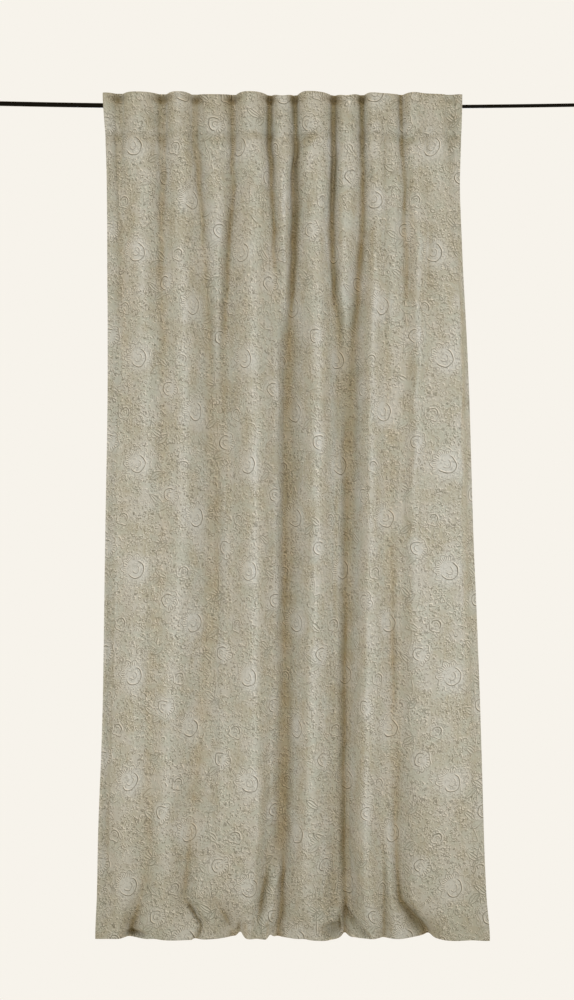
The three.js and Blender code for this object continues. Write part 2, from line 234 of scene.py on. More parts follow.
def tucks_at(x, drop):
    """How far the tucks draw the cloth back and up."""
    back, up = np.zeros_like(x), np.zeros_like(x)
    for tuck in TUCKS:
        share = 1 - smooth(0, tuck["reach"], abs(drop - tuck["edge"]))
        share = share * np.exp(-(((x - tuck["x"]) / tuck["half"]) ** 2))
        back += tuck["depth"] * share
        up += tuck["lift"] * share
    return back, up


def row_line(drop, swell):
    """A close line of points across one row: x, how far forward, and how far lifted."""
    xs, outs = row_knots(drop, swell)
    point = along_stations(GROOVE_POINT, drop)
    slopes, rise, span = level_slopes(xs, outs), np.diff(outs) / np.diff(xs), np.diff(xs)
    low = np.zeros(len(xs), bool)
    low[1:-1] = (outs[1:-1] <= outs[:-2]) & (outs[1:-1] <= outs[2:])
    leaving = np.where(low[:-1], point * rise, slopes[:-1])
    arriving = np.where(low[1:], point * rise, slopes[1:])
    i = np.repeat(np.arange(len(span)), LINE_STEPS)
    t = np.tile(np.arange(LINE_STEPS) / LINE_STEPS, len(span))
    x = np.append(xs[i] + span[i] * t, xs[-1])
    out = np.append(hermite(span[i], outs[i], outs[i + 1], leaving[i], arriving[i], t), outs[-1])
    back, up = tucks_at(x, drop)
    return x, out - back, up


def folded_row(drop, columns):
    """The row with its folds as deep as the flat width makes them, at evenly spaced threads."""
    low, high = SWELL_LEAST, SWELL_MOST
    for _ in range(SWELL_HALVINGS):
        swell = (low + high) / 2
        x, out, up = row_line(drop, swell)
        along = np.append(0, np.cumsum(np.hypot(np.diff(x), np.diff(out))))
        low, high = (swell, high) if along[-1] < PANEL_WIDTH else (low, swell)
    threads = np.linspace(0, along[-1], columns)
    return [np.interp(threads, along, values) for values in (x, out, up)]


x, out, up = folded_row(DROP / 2, 10)
print("a row half way down, mm:", np.round(x), np.round(out))

# %% [markdown]
# ## The cloth's grid
#
# The rows lie closer at the heading and the hem, where the cloth is sewn and puckers, than in the long
# quiet middle. The columns are the cloth's own threads, evenly spaced along the flat width, so the print
# bends with the cloth and isn't stretched by the folds.

# %% The grid
COLUMNS = 313
# From one drop to the next, and how many rows lie between
ROW_BANDS = [(0, 160, 22), (160, 700, 36), (700, 2000, 37), (2000, 2380, 24), (2380, 2500, 34)]

drops = np.concatenate([np.linspace(a, b, n, endpoint=False) for a, b, n in ROW_BANDS] + [[DROP]])
rows = [folded_row(drop, COLUMNS) for drop in drops]
grid_x, grid_out, grid_up = (np.array([row[k] for row in rows]) for k in range(3))
grid_along, grid_drop = np.meshgrid(np.linspace(0, PANEL_WIDTH, COLUMNS), drops)
print("grid:", grid_x.shape, "folds from", round(grid_out.min()), "to", round(grid_out.max()), "mm")

# %% [markdown]
# ## Creases
#
# The large folds don't carry the small things that make a cloth look handled: the dents beside a stitched
# line, the short drag lines under the heading, the pockets over the hem and the laps where one fold
# passes over the next. Each is placed one by one. A dent is an ellipse of a given reach, pushed back or
# pulled forward. A lap is a line with the cloth at full height on one side and set back on the other,
# from where it comes forward again slowly.

# %% Dents and laps
# The middle, half the length and half the width, the turn from upright in degrees, and how far back it goes
DENTS = [
    {"x": 351, "drop": 60, "long": 60, "wide": 3.5, "turn": 0, "back": 2},  # sewn crease
    {"x": 282, "drop": 225, "long": 42, "wide": 4, "turn": -10, "back": 4},  # drag 1
    {"x": 206, "drop": 215, "long": 30, "wide": 4, "turn": 2, "back": 3.5},  # drag 2
    {"x": -19, "drop": 1400, "long": 760, "wide": 14, "turn": 0, "back": 13},  # valley shoulder
    {"x": 31, "drop": 1650, "long": 560, "wide": 11, "turn": 0, "back": -5},  # valley side
    {"x": 152, "drop": 1960, "long": 540, "wide": 14, "turn": 0, "back": 10},  # low valley
    {"x": 206, "drop": 1100, "long": 750, "wide": 20, "turn": 0, "back": -9},  # right recess
    {"x": 150, "drop": 2330, "long": 150, "wide": 14, "turn": 0, "back": 8},  # valley foot
    {"x": -440, "drop": 2492, "long": 9, "wide": 32, "turn": 4, "back": 32},  # left pocket
    {"x": -424, "drop": 2504, "long": 7, "wide": 36, "turn": 0, "back": -18},  # left pocket rim
    {"x": -88, "drop": 2470, "long": 46, "wide": 22, "turn": 8, "back": -9},  # lobe
    {"x": 142, "drop": 2472, "long": 14, "wide": 30, "turn": -6, "back": 36},  # right pocket
    {"x": 136, "drop": 2498, "long": 8, "wide": 34, "turn": 0, "back": -16},  # right pocket rim
    {"x": 396, "drop": 2458, "long": 26, "wide": 14, "turn": -40, "back": 6},  # flap pocket
    {"x": -152, "drop": 2478, "long": 26, "wide": 16, "turn": 0, "back": -14},  # beside the notch
]
# Both ends as x and drop, which side lies behind, how far, and how soon it comes forward again
LAPS = [
    {"from": (-470, 2440), "to": (-452, 2490), "behind": 1, "back": 8, "wide": 26},  # left flap
    {"from": (-284, 2396), "to": (-246, 2464), "behind": 1, "back": 24, "wide": 24},  # diamond
    {"from": (-244, 2456), "to": (-270, 2512), "behind": 1, "back": 20, "wide": 20},  # diamond foot
    {"from": (-46, 2440), "to": (-43, 2512), "behind": 1, "back": 16, "wide": 26},  # lobe edge
    {"from": (170, 2425), "to": (176, 2485), "behind": -1, "back": 16, "wide": 20},  # right slit
    {"from": (186, 2408), "to": (262, 2494), "behind": -1, "back": 26, "wide": 20},  # small diagonal
    {"from": (352, 2340), "to": (446, 2502), "behind": -1, "back": 12, "wide": 30},  # large diagonal
]
LAP_EDGE = 3.5  # half the width of its step
LAP_STARTS = (-0.12, 0.3)  # where it sets in and runs out, as shares of the way from end to end
LAP_STOPS = (0.85, 1.12)


def dent_depth(x, drop):
    """How far all dents push the cloth back."""
    back = np.zeros_like(x)
    for dent in DENTS:
        turn = np.radians(dent["turn"])
        dx, dz = x - dent["x"], drop - dent["drop"]
        lengthwise = (dz * np.cos(turn) - dx * np.sin(turn)) / dent["long"]
        sideways = (dx * np.cos(turn) + dz * np.sin(turn)) / dent["wide"]
        back += dent["back"] * np.exp(-(lengthwise**2) - sideways**2)
    return back


def lap_depth(x, drop):
    """How far all laps set the cloth back."""
    back = np.zeros_like(x)
    for lap in LAPS:
        start, end = np.array(lap["from"], float), np.array(lap["to"], float)
        run = end - start
        dx, dz = x - start[0], drop - start[1]
        along_lap = (dx * run[0] + dz * run[1]) / (run @ run)
        beside = lap["behind"] * (dx * run[1] - dz * run[0]) / np.hypot(*run)
        ends = smooth(*LAP_STARTS, along_lap) * (1 - smooth(*LAP_STOPS, along_lap))
        behind = smooth(-LAP_EDGE, LAP_EDGE, beside) * np.exp(-((np.maximum(beside, 0) / lap["wide"]) ** 2))
        back += lap["back"] * ends * behind
    return back


grid_out -= dent_depth(grid_x, grid_drop) + lap_depth(grid_x, grid_drop)
print("dents:", len(DENTS), "laps:", len(LAPS))

# %% [markdown]
# ## The heading
#
# The straps pull the cloth's top edge back over the rod, so between the crests it leans away and lies in
# shadow. The seam at the foot of the heading is stiff with its layers of cloth, and draws each fold in a
# little, here more and there less. Sculpting would give such a place too, but not the same one after a
# change to the folds.

# %% The heading leans back over the rod
TABS = [line for line in FOLD_LINES if "flat" in line]
LEANS = [
    {"tab": 1, "back": 13, "wide": 23},
    {"tab": 2, "back": 14, "wide": 32},
    {"tab": 3, "back": 14, "wide": 24},
    {"tab": 4, "back": 15, "wide": 25},
    {"tab": 5, "back": 15, "wide": 21},
    {"tab": 6, "back": 13, "wide": 17},
    {"tab": 7, "back": 15, "wide": 24},
    {"tab": 8, "back": 14, "wide": 18},
    {"tab": 9, "back": 5, "wide": 12},
    {"tab": 10, "back": 6, "wide": 24},
]
LEAN_BEGINS = -8  # above the edge, so that the edge itself leans
LEAN_DEEPEST = 14  # its drop
LEAN_ENDS = 29  # just above the rod's axis, so that the cloth clears the rod
LEAN_LIFT = 0.25  # of the lean: what its edge gains in height
SEAM_DROP = 119
SEAM_REACH = 17
SEAM_DEPTH = 4.6
SEAM_SHARE = 0.08  # how much deeper per millimetre that a fold stands forward
SEAM_TUGS = [
    {"wave": 41, "start": 0, "share": 0.32},
    {"wave": 67, "start": 2.1, "share": 0.38},
    {"wave": 23, "start": 4.2, "share": 0.22},
]
SEAM_STRAY = 5  # how far it wanders up and down, in waves of the next two numbers
SEAM_STRAY_WAVE = 29
SEAM_STRAY_START = 1.3


def leaned(x, drop, reach=1.0):
    """How far the straps draw the heading back over the rod."""
    back = 0
    for lean in LEANS:
        tab_x = TABS[lean["tab"] - 1]["x"][0]
        back = back + lean["back"] * np.exp(-(((x - tab_x) / (lean["wide"] * reach)) ** 2))
    return back * smooth(LEAN_BEGINS, LEAN_DEEPEST, drop) * (1 - smooth(LEAN_DEEPEST, LEAN_ENDS, drop))


def drawn_back(x, drop, out):
    """How far the heading is drawn back: by the straps over the rod, and unevenly by the seam."""
    tug, stray = 1, SEAM_STRAY * np.sin(x / SEAM_STRAY_WAVE + SEAM_STRAY_START)
    for pull in SEAM_TUGS:
        tug = tug + pull["share"] * np.sin(x / pull["wave"] + pull["start"])
    seam = (SEAM_DEPTH + SEAM_SHARE * out) * tug
    return leaned(x, drop) + seam * np.exp(-(((drop - SEAM_DROP - stray) / SEAM_REACH) ** 2))


back = drawn_back(grid_x, grid_drop, grid_out)
grid_up += LEAN_LIFT * back * (1 - smooth(0, LEAN_ENDS, grid_drop))
grid_out -= back
print("the heading is drawn back by up to", round(float(back.max()), 1), "mm")

# %% [markdown]
# ## The hand of the cloth
#
# A soft woven cloth is never quite smooth. Broad shallow waves run over it, longer than they are wide
# because they hang, small rumples lie where hands have pushed the heading along, and the folds sway a
# little on their way down. The sewn lines draw the cloth into puckers. All are sums of a few sine waves
# with seeded turns, which gives the same cloth at every run, where a noise texture on a modifier would
# only displace what is drawn.

# %% Waves, rumples and puckers
WAVES = 26
WAVE_DEPTH = 1.2
WAVE_ACROSS = (70, 240)  # its length across the cloth and down it, least and most
WAVE_DOWN = (260, 900)
WAVE_TURN = (-0.25, 0.25)
WAVE_SHARE = (0.3, 1)  # of the full depth
HELD_ENDS = 40  # how far below the heading the straps still hold the cloth flat
draw = np.random.default_rng(7)

waves = np.zeros_like(grid_out)
for _ in range(WAVES):
    across, down = draw.uniform(*WAVE_ACROSS), draw.uniform(*WAVE_DOWN)
    turn, start = draw.uniform(*WAVE_TURN), draw.uniform(0, 2 * np.pi)
    phase = grid_along / across + grid_drop / down + turn * grid_drop / across
    waves += np.sin(2 * np.pi * phase + start) * WAVE_DEPTH * draw.uniform(*WAVE_SHARE) * 2 / np.sqrt(WAVES)
held = np.zeros_like(grid_out)
for tab in TABS:
    held = np.maximum(held, np.exp(-(((grid_x - tab["x"][0]) / TAB_WIDTH) ** 4)))
held *= 1 - smooth(HEADING_BAND, HEADING_BAND + HELD_ENDS, grid_drop)

RUMPLES = 60
RUMPLE_DEPTH = 1.1
RUMPLE_ACROSS = (32, 95)
RUMPLE_DOWN = (60, 200)
RUMPLE_EASE = (25, 30)  # from the ends and from the sides: how soon the rumples are at their full depth
HANDLED = {"everywhere": 0.35, "top": 0.65, "foot": 0.3}  # the depth's shares
HANDLED_TOP = 330  # how far down hands reach
HANDLED_FOOT = 2000  # the drop from which the cloth is handled at its foot
SWAY = 1.5
SWAY_ACROSS = (130, 400)
SWAY_DOWN = (90, 300)
SWAY_EASE = (60, 90)
rumples, sway = np.zeros_like(grid_out), np.zeros_like(grid_out)
for _ in range(RUMPLES):
    across, down = draw.uniform(*RUMPLE_ACROSS), draw.uniform(*RUMPLE_DOWN)
    phase = grid_along / across * draw.choice((-1, 1)) + grid_drop / down
    rumples += np.sin(2 * np.pi * phase + draw.uniform(0, 2 * np.pi)) * np.sqrt(2 / RUMPLES)
for _ in range(WAVES):
    phase = grid_along / draw.uniform(*SWAY_ACROSS) + grid_drop / draw.uniform(*SWAY_DOWN)
    sway += np.sin(2 * np.pi * phase + draw.uniform(0, 2 * np.pi)) * np.sqrt(2 / WAVES)
from_side = np.minimum(grid_along, PANEL_WIDTH - grid_along)
from_ends = np.minimum(grid_drop, DROP - grid_drop)
handled = HANDLED["everywhere"] + HANDLED["top"] * np.exp(-((grid_drop / HANDLED_TOP) ** 2))
handled += HANDLED["foot"] * smooth(HANDLED_FOOT, DROP, grid_drop)
rumples *= smooth(0, RUMPLE_EASE[0], from_ends) * smooth(0, RUMPLE_EASE[1], from_side)
rumples *= RUMPLE_DEPTH * handled
grid_out += (waves * smooth(0, HEADING_BAND, grid_drop) + rumples) * (1 - held)
grid_x += SWAY * sway * smooth(0, SWAY_EASE[1], from_side) * smooth(0, SWAY_EASE[0], from_ends) * (1 - held)
print("waves up to", round(float(np.abs(waves).max()), 1), "mm")

PUCKER_DEPTH = 0.5
PUCKER_PITCH = 17
PUCKER_REACH = 16
PUCKER_STRAY = 1.7  # how unevenly they follow each other, in waves of the next number
PUCKER_STRAY_WAVE = 61
SUNK_DEPTH = 1.0  # of the stitched line itself
SUNK_REACH = 3.5
pucker = np.sin(2 * np.pi * grid_along / PUCKER_PITCH + PUCKER_STRAY * np.sin(grid_along / PUCKER_STRAY_WAVE))
from_seam = grid_drop - HEADING_BAND
grid_out += PUCKER_DEPTH * pucker * np.exp(-((from_seam / PUCKER_REACH) ** 2))
grid_out -= SUNK_DEPTH * np.exp(-((from_seam / SUNK_REACH) ** 2))
print("puckers:", round(PANEL_WIDTH / PUCKER_PITCH), "along the seam")

# %% [markdown]
# ## The cloth as a thin sheet
#
# The front grid and a copy of it, moved back by the cloth's thickness, make one closed sheet, with a soft
# rounded rim between them. It is thicker where the heading and the hems are turned over, as on its solid.
# The Solidify modifier would thicken one grid too, but evenly all over.

# %% The cloth's front and back
HEM_STEP = 2  # how far from the edge of a hem its layers run out
HEADING_STEP = 3
ROUND_RIM = 0.35  # how far the rim stands out, as a share of the thickness


def thickness_at(along, drop):
    """The thickness of the cloth, with the layers of its heading and hems."""
    at_sides = smooth(SIDE_HEM + HEM_STEP, SIDE_HEM - HEM_STEP, np.minimum(along, PANEL_WIDTH - along))
    at_foot = smooth(DROP - BOTTOM_HEM - HEM_STEP, DROP - BOTTOM_HEM, drop)
    shade_patches = CLOTH + (HEM_CLOTH - CLOTH) * np.maximum(at_sides, at_foot)
    return shade_patches + (HEADING_CLOTH - shade_patches) * smooth(HEADING_BAND + HEADING_STEP, HEADING_BAND - 1, drop)


front = np.stack([grid_x, CLOTH_FRONT - grid_out, HEADER - grid_drop + grid_up + rod_height(grid_x)], axis=-1)
across = np.gradient(front, axis=1)
down = np.gradient(front, axis=0)
facing_back = np.cross(across, down)
facing_back /= np.linalg.norm(facing_back, axis=-1, keepdims=True)
back = front + facing_back * thickness_at(grid_along, grid_drop)[..., None]
print("thickness, mm:", CLOTH, "to", HEADING_CLOTH)


# %% From grids to a closed sheet
def rim_loop(grid):
    """The grid's border, walked once round."""
    return np.concatenate([grid[0, :-1], grid[:-1, -1], grid[-1, :0:-1], grid[:0:-1, 0]])


def mesh_object(name, vertices, faces, finishes, face_finish=None):
    """A smooth object from vertices in millimetres, with a finish for all faces or a number for each."""
    mesh = bpy.data.meshes.new(name)
    mesh.from_pydata((np.asarray(vertices) * MM).tolist(), [], [list(map(int, face)) for face in faces])
    for finish in finishes:
        mesh.materials.append(finish)
    if face_finish is not None:
        mesh.polygons.foreach_set("material_index", np.asarray(face_finish, np.int32))
    mesh.polygons.foreach_set("use_smooth", np.full(len(mesh.polygons), True))
    mesh.validate()
    piece = bpy.data.objects.new(name, mesh)
    bpy.context.scene.collection.objects.link(piece)
    return piece


def sheet_mesh(name, front, back, flat, finishes):
    """A closed sheet from two grids. flat holds the UVs of the grid's points."""
    row_count, column_count = front.shape[:2]
    number = np.arange(row_count * column_count).reshape(row_count, column_count)
    middle = (rim_loop(front) + rim_loop(back)) / 2
    inward = rim_loop(front) - rim_loop(back)
    border = rim_loop(number)
    along_rim = np.roll(middle, -1, axis=0) - np.roll(middle, 1, axis=0)
    outward = np.cross(along_rim, inward)
    outward /= np.maximum(np.linalg.norm(outward, axis=1, keepdims=True), 1e-9)
    centre = front.reshape(-1, 3).mean(0)
    if ((middle - centre) * outward).sum() < 0:
        outward = -outward
    rim = middle + outward * np.linalg.norm(inward, axis=1, keepdims=True) * ROUND_RIM
    vertices = np.concatenate([front.reshape(-1, 3), back.reshape(-1, 3), rim])

    a, b, c, d = (number[:-1, :-1], number[1:, :-1], number[1:, 1:], number[:-1, 1:])
    front_faces = np.stack([a, b, c, d], axis=-1).reshape(-1, 4)
    back_faces = front_faces[:, ::-1] + number.size
    first, second = border, np.roll(border, -1)
    rim_number = 2 * number.size + np.arange(len(border))
    rim_next = np.roll(rim_number, -1)
    near_rim = np.stack([first, second, rim_next, rim_number], 1)
    far_rim = np.stack([rim_number, rim_next, second + number.size, first + number.size], 1)
    faces = np.concatenate([front_faces, back_faces, near_rim, far_rim])
    on_back = np.zeros(len(faces))
    on_back[len(front_faces):2 * len(front_faces)] = 1
    piece = mesh_object(name, vertices, faces, finishes, on_back)

    flat_of_vertex = np.concatenate([flat.reshape(-1, 2), flat.reshape(-1, 2), rim_loop(flat)])
    loops = np.zeros(len(piece.data.loops), np.int32)
    piece.data.loops.foreach_get("vertex_index", loops)
    layer = piece.data.uv_layers.new(name="flat_cloth")
    layer.data.foreach_set("uv", flat_of_vertex[loops].astype(np.float32).ravel())
    return piece


# %% [markdown]
# ## Sums on sockets
#
# A finish is a graph of nodes, and a long one is hard to read as links. One small class wraps a socket,
# so that sums are written as sums, and one method adds every other node.

# %% A small language for finishes
class Tone:
    """A socket of a finish that can stand in a sum."""

    def __init__(self, finish, socket):
        self.finish = finish
        self.socket = socket

    def maths(self, operation, *values):
        return self.finish.node("ShaderNodeMath", {"operation": operation}, values)

    def __add__(self, other):
        return self.maths("ADD", self, other)

    def __radd__(self, other):
        return self.maths("ADD", other, self)

    def __sub__(self, other):
        return self.maths("SUBTRACT", self, other)

    def __rsub__(self, other):
        return self.maths("SUBTRACT", other, self)

    def __mul__(self, other):
        return self.maths("MULTIPLY", self, other)

    def __rmul__(self, other):
        return self.maths("MULTIPLY", other, self)

    def __truediv__(self, other):
        return self.maths("DIVIDE", self, other)

    def __rtruediv__(self, other):
        return self.maths("DIVIDE", other, self)

    def __abs__(self):
        return self.maths("ABSOLUTE", self)

    def __mod__(self, other):
        return self.maths("FLOORED_MODULO", self, other)

    def floor(self):
        return self.maths("FLOOR", self)

    def sin(self):
        return self.maths("SINE", self)

    def least(self, other):
        return self.maths("MINIMUM", self, other)

    def most(self, other):
        return self.maths("MAXIMUM", self, other)

    def step(self, low, high):
        """0 below low, 1 above high and a soft step between. With low over high it falls."""
        settings = {"interpolation_type": "SMOOTHSTEP"}
        ends = {"Value": self, "From Min": min(low, high), "From Max": max(low, high)}
        rising = self.finish.node("ShaderNodeMapRange", settings, ends)
        return rising if low < high else 1 - rising


class Finish:
    """A material with one principled shader, built up node by node."""

    def __init__(self, name, **constants):
        self.material = bpy.data.materials.new(name)
        self.material.use_nodes = True
        self.tree = self.material.node_tree
        self.shader = self.tree.nodes["Principled BSDF"]
        for socket, value in constants.items():
            self.shader.inputs[socket.replace("_", " ").title().replace("Ior", "IOR")].default_value = value

    def node(self, kind, settings=None, values=(), output=0):
        """Any node: its settings first, then the values or links of its sockets by place or by name."""
        made = self.tree.nodes.new(kind)
        for name, value in (settings or {}).items():
            setattr(made, name, value)
        pairs = values.items() if isinstance(values, dict) else enumerate(values)
        for place, value in pairs:
            self.feed(made.inputs[place], value)
        return Tone(self, made.outputs[output])

    def feed(self, socket, value):
        if isinstance(value, Tone):
            self.tree.links.new(value.socket, socket)
        else:
            socket.default_value = value

    def dye(self, mask, under, over, way="MIX"):
        """One colour laid over another where the mask is 1. A Mix node's colours are its sockets 6 and 7."""
        settings = {"data_type": "RGBA", "blend_type": way, "clamp_factor": True}
        return self.node("ShaderNodeMix", settings, {0: mask, 6: under, 7: over}, output=2)

    def noise(self, place, scale, detail=2.0, rough=0.5, output=0):
        values = {"Vector": place, "Scale": scale, "Detail": detail, "Roughness": rough}
        return self.node("ShaderNodeTexNoise", {"noise_dimensions": "3D"}, values, output)

    def vector(self, x, y, z=0.0):
        return self.node("ShaderNodeCombineXYZ", None, (x, y, z))

    def length(self, x, y):
        return self.node("ShaderNodeVectorMath", {"operation": "LENGTH"}, (self.vector(x, y),), "Value")

    def attribute(self, name):
        """A number that the mesh keeps at each of its points."""
        return self.node("ShaderNodeAttribute", {"attribute_name": name}, (), "Fac")

    def bump(self, height, strength, distance):
        values = {"Height": height, "Strength": strength, "Distance": distance}
        return self.node("ShaderNodeBump", None, values)

    def show(self, **sockets):
        """The last step: feeds the shader, and hands back the material."""
        for name, value in sockets.items():
            self.feed(self.shader.inputs[name.replace("_", " ").title()], value)
        return self.material


# %% [markdown]
# ## The print
#
# The cloth carries a dense print, tone on tone, in greyed greens and browns. It is worked out on the flat
# cloth in millimetres, as a generic design: rosettes of three sizes stand in a half drop, each column
# shifted by half a repeat against the next, with wavy stems and leaves between them and fine curls as a
# filler. A pale cloud lies under each rosette. Every line has a shadow on one side and a light on the
# other, so that it reads as if it were raised. An image would be simpler, but it wouldn't stay sharp
# close to.

# %% Colours and sizes of the print
GROUND = (0.386, 0.384, 0.324, 1)
GREYED = (0.462, 0.466, 0.440, 1)
GREENED = (0.396, 0.420, 0.372, 1)
OLIVE = (0.345, 0.325, 0.245, 1)
CLOUD = (0.498, 0.512, 0.494, 1)
SHADOW = (0.125, 0.116, 0.085, 1)
LIGHT = (0.730, 0.705, 0.630, 1)
STRUCK_THROUGH = (0.500, 0.480, 0.410, 1)

COLUMN_PITCH = 200  # seven columns over the flat width
ROW_PITCH = 312.5  # eight rows over the drop
# The radius, petals, ticks of the fringe, strength of the cloud, where it stands, and where its ring is open
ROSETTES = [
    {"radius": 44, "petals": 11, "fringe": 38, "cloud": 0.80, "along": 0, "drop": 0, "open": 40},
    {"radius": 32, "petals": 6, "fringe": 22, "cloud": 0.65, "along": 96, "drop": 66, "open": 200},
    {"radius": 22, "petals": 5, "fringe": 0, "cloud": 0.25, "along": 44, "drop": 152, "open": 300},
]
# Shares of the radius: the ring, the fringe, the heart, the petals' depth to each side, and where the fringe
# and the cloud fade out
RING = 0.60
FRINGE = 0.78
HEART = 0.26
PETAL_DEPTH = 0.09
FRINGE_FADES = (0.16, 0.10)
CLOUD_FADES = (1.5, 0.5)
# Half the width of a line in mm, where it has faded out and where it is at full strength
RING_LINE = (2.2, 1.0)
HEART_LINE = (1.8, 0.8)
PETAL_LINE = (1.9, 0.7)
STEM_LINE = (1.7, 0.6)
RING_OPENS = (-0.6, 0.0)  # the sine of the turn at which the ring gives way to the fringe
TICK = (0.5, 0.2)  # the sine of the turn at which a tick of the fringe begins and is full
HEART_SHARE = 0.7  # how strongly the heart shows
PETAL_SHARE = 0.8  # and the petals
PETAL_RINGED = 0.5  # what the petals lose beside the ring
# Where a leaf stands beside its stem, and its turn in degrees
LEAVES = [
    {"across": 62, "down": -92, "turn": 35},
    {"across": 80, "down": -74, "turn": 145},
    {"across": 84, "down": 10, "turn": 35},
    {"across": 64, "down": 34, "turn": 145},
    {"across": 60, "down": 104, "turn": 35},
    {"across": 82, "down": 126, "turn": 145},
]
LEAF_LONG = 23
LEAF_WIDE = 8
LEAF_ENDS = (1.15, 0.95)  # of its reach: where the blade ends, the edge's line, and its width
LEAF_EDGE = 1.1
LEAF_EDGE_LINE = (0.3, 0.1)
LEAF_VEIN = (0.24, 0.08)  # of its width
STEM_PLACE = 0.37  # of the column's width
STEM_SWING = 9
RAISED = 1.8  # how far aside and up a line's light lies


# %% Motifs
def half_drop(along, drop, shift_along, shift_drop):
    """Distances in mm from the middle of the nearest repeat of a half-drop layout."""
    column = ((along + shift_along) / COLUMN_PITCH).floor()
    across = (along + shift_along) % COLUMN_PITCH - COLUMN_PITCH / 2
    dropped = drop + shift_drop + (column % 2) * (ROW_PITCH / 2)
    return across, dropped % ROW_PITCH - ROW_PITCH / 2


def rosette(finish, x, y, motif):
    """A rosette's cloud, and its lines: a ring and a heart on one side, a fringe on the other, and petals."""
    across, down = half_drop(x, y, motif["along"], motif["drop"])
    radius = motif["radius"]
    from_middle = finish.length(across, down)
    turn = across.maths("ARCTAN2", across, down)
    ringed = (turn + np.radians(motif["open"])).sin().step(*RING_OPENS)
    ring = abs(from_middle - radius * RING).step(*RING_LINE)
    heart = abs(from_middle - radius * HEART).step(*HEART_LINE) * HEART_SHARE
    scallop = (turn * motif["petals"]).sin() * (radius * PETAL_DEPTH) + radius
    petals = abs(from_middle - scallop).step(*PETAL_LINE) * (1 - ringed * PETAL_RINGED)
    lines = (ring.most(heart) * ringed).most(petals * PETAL_SHARE)
    if motif["fringe"]:
        tick = abs((turn * (motif["fringe"] / 2)).sin()).step(*TICK)
        from_fringe = abs(from_middle - radius * FRINGE)
        fringe = tick * from_fringe.step(radius * FRINGE_FADES[0], radius * FRINGE_FADES[1])
        lines = lines.most(fringe * (1 - ringed))
    cloud = from_middle.step(radius * CLOUD_FADES[0], radius * CLOUD_FADES[1])
    return cloud * motif["cloud"], lines


def leaf(across, down, place):
    """A pointed leaf's blade, and its edge and vein."""
    cos, sin = np.cos(np.radians(place["turn"])), np.sin(np.radians(place["turn"]))
    dx, dy = across - place["across"], down - place["down"]
    lengthwise = (dx * cos + dy * sin) / LEAF_LONG
    sideways = abs(dy * cos - dx * sin) / LEAF_WIDE
    reach = sideways + lengthwise * lengthwise
    blade = reach.step(*LEAF_ENDS)
    return blade, abs(reach - LEAF_EDGE).step(*LEAF_EDGE_LINE).most(sideways.step(*LEAF_VEIN) * blade)


def vine(x, y):
    """The wavy stem of each repeat and its leaves."""
    across, down = half_drop(x, y, 0, 0)
    from_stem = across - COLUMN_PITCH * STEM_PLACE - (down * (4 * np.pi / ROW_PITCH)).sin() * STEM_SWING
    blades, lines = 0, abs(from_stem).step(*STEM_LINE)
    for place in LEAVES:
        blade, edge = leaf(across, down, place)
        blades, lines = blade.most(blades), lines.most(edge)
    return blades, lines


# %% [markdown]
# The filler is what gives this cloth its busy look. Its scrolls are rings drawn round scattered points. A
# wandering of the place bends them and a noise breaks them up, so that only curls are left. Short dabs
# lie between them.

# %% The filler
# The pitch of the points, the ring's radius, the seed, and how much of the rings is broken away
SCROLLS = [
    {"pitch": 14, "radius": 4.6, "seed": 7, "open": 0.45},
    {"pitch": 9.5, "radius": 2.6, "seed": 43, "open": 0.44},
    {"pitch": 24, "radius": 9, "seed": 71, "open": 0.46},
]
SCROLL_LINE = (1.25, 0.5)  # half its width, where it has faded out and where it is at full strength
BROKEN_PITCH = 1.6  # of the noise that breaks a ring, in radii
BROKEN_EDGE = (-0.03, 0.05)  # about the share that is broken away
BROKEN_SEED = 3
WANDER = 11  # how far a scroll's line may stray, from side to side
WANDER_PITCH = 13
WANDER_SEEDS = (3.0, 23.0)
# The pitch, the turn in degrees and the seed
DABS = [
    {"pitch": 8.5, "turn": 50, "seed": 13},
    {"pitch": 8.5, "turn": -35, "seed": 29},
]
DAB_LONG = 3.4  # times as long as wide
DAB_EDGE = (0.19, 0.08)  # of the pitch
FILLER_SHARE = 0.78  # how strongly it shows, next to the motifs


def scroll(finish, x, y, shift, kind):
    """Curls: parts of the rings about scattered points."""
    place = finish.vector(x - shift, y + shift, kind["seed"])
    cells = {"Vector": place, "Scale": 1 / kind["pitch"], "Randomness": 1.0}
    from_point = finish.node("ShaderNodeTexVoronoi", {"feature": "F1"}, cells) * kind["pitch"]
    breaks = finish.vector(x, y, kind["seed"] + BROKEN_SEED)
    broken = finish.noise(breaks, 1 / (kind["radius"] * BROKEN_PITCH), 1.0)
    arc = broken.step(kind["open"] + BROKEN_EDGE[0], kind["open"] + BROKEN_EDGE[1])
    return abs(from_point - kind["radius"]).step(*SCROLL_LINE) * arc


def dab(finish, x, y, shift, kind):
    """Short slanting dabs: cells drawn out along their turn."""
    cos, sin = np.cos(np.radians(kind["turn"])), np.sin(np.radians(kind["turn"]))
    dx, dy = x - shift, y + shift
    place = finish.vector(dx * cos + dy * sin, (dy * cos - dx * sin) / DAB_LONG, kind["seed"])
    cells = {"Vector": place, "Scale": 1 / kind["pitch"], "Randomness": 1.0}
    return finish.node("ShaderNodeTexVoronoi", {"feature": "F1"}, cells).step(*DAB_EDGE)


def wobbled(finish, x, y, reach, pitch, seeds):
    """A place moved aside by slow noise, so that what is drawn there doesn't look ruled."""
    aside, down = (finish.noise(finish.vector(x, y, seed), 1 / pitch, 1.0) - 0.5 for seed in seeds)
    return x + aside * reach, y + down * reach


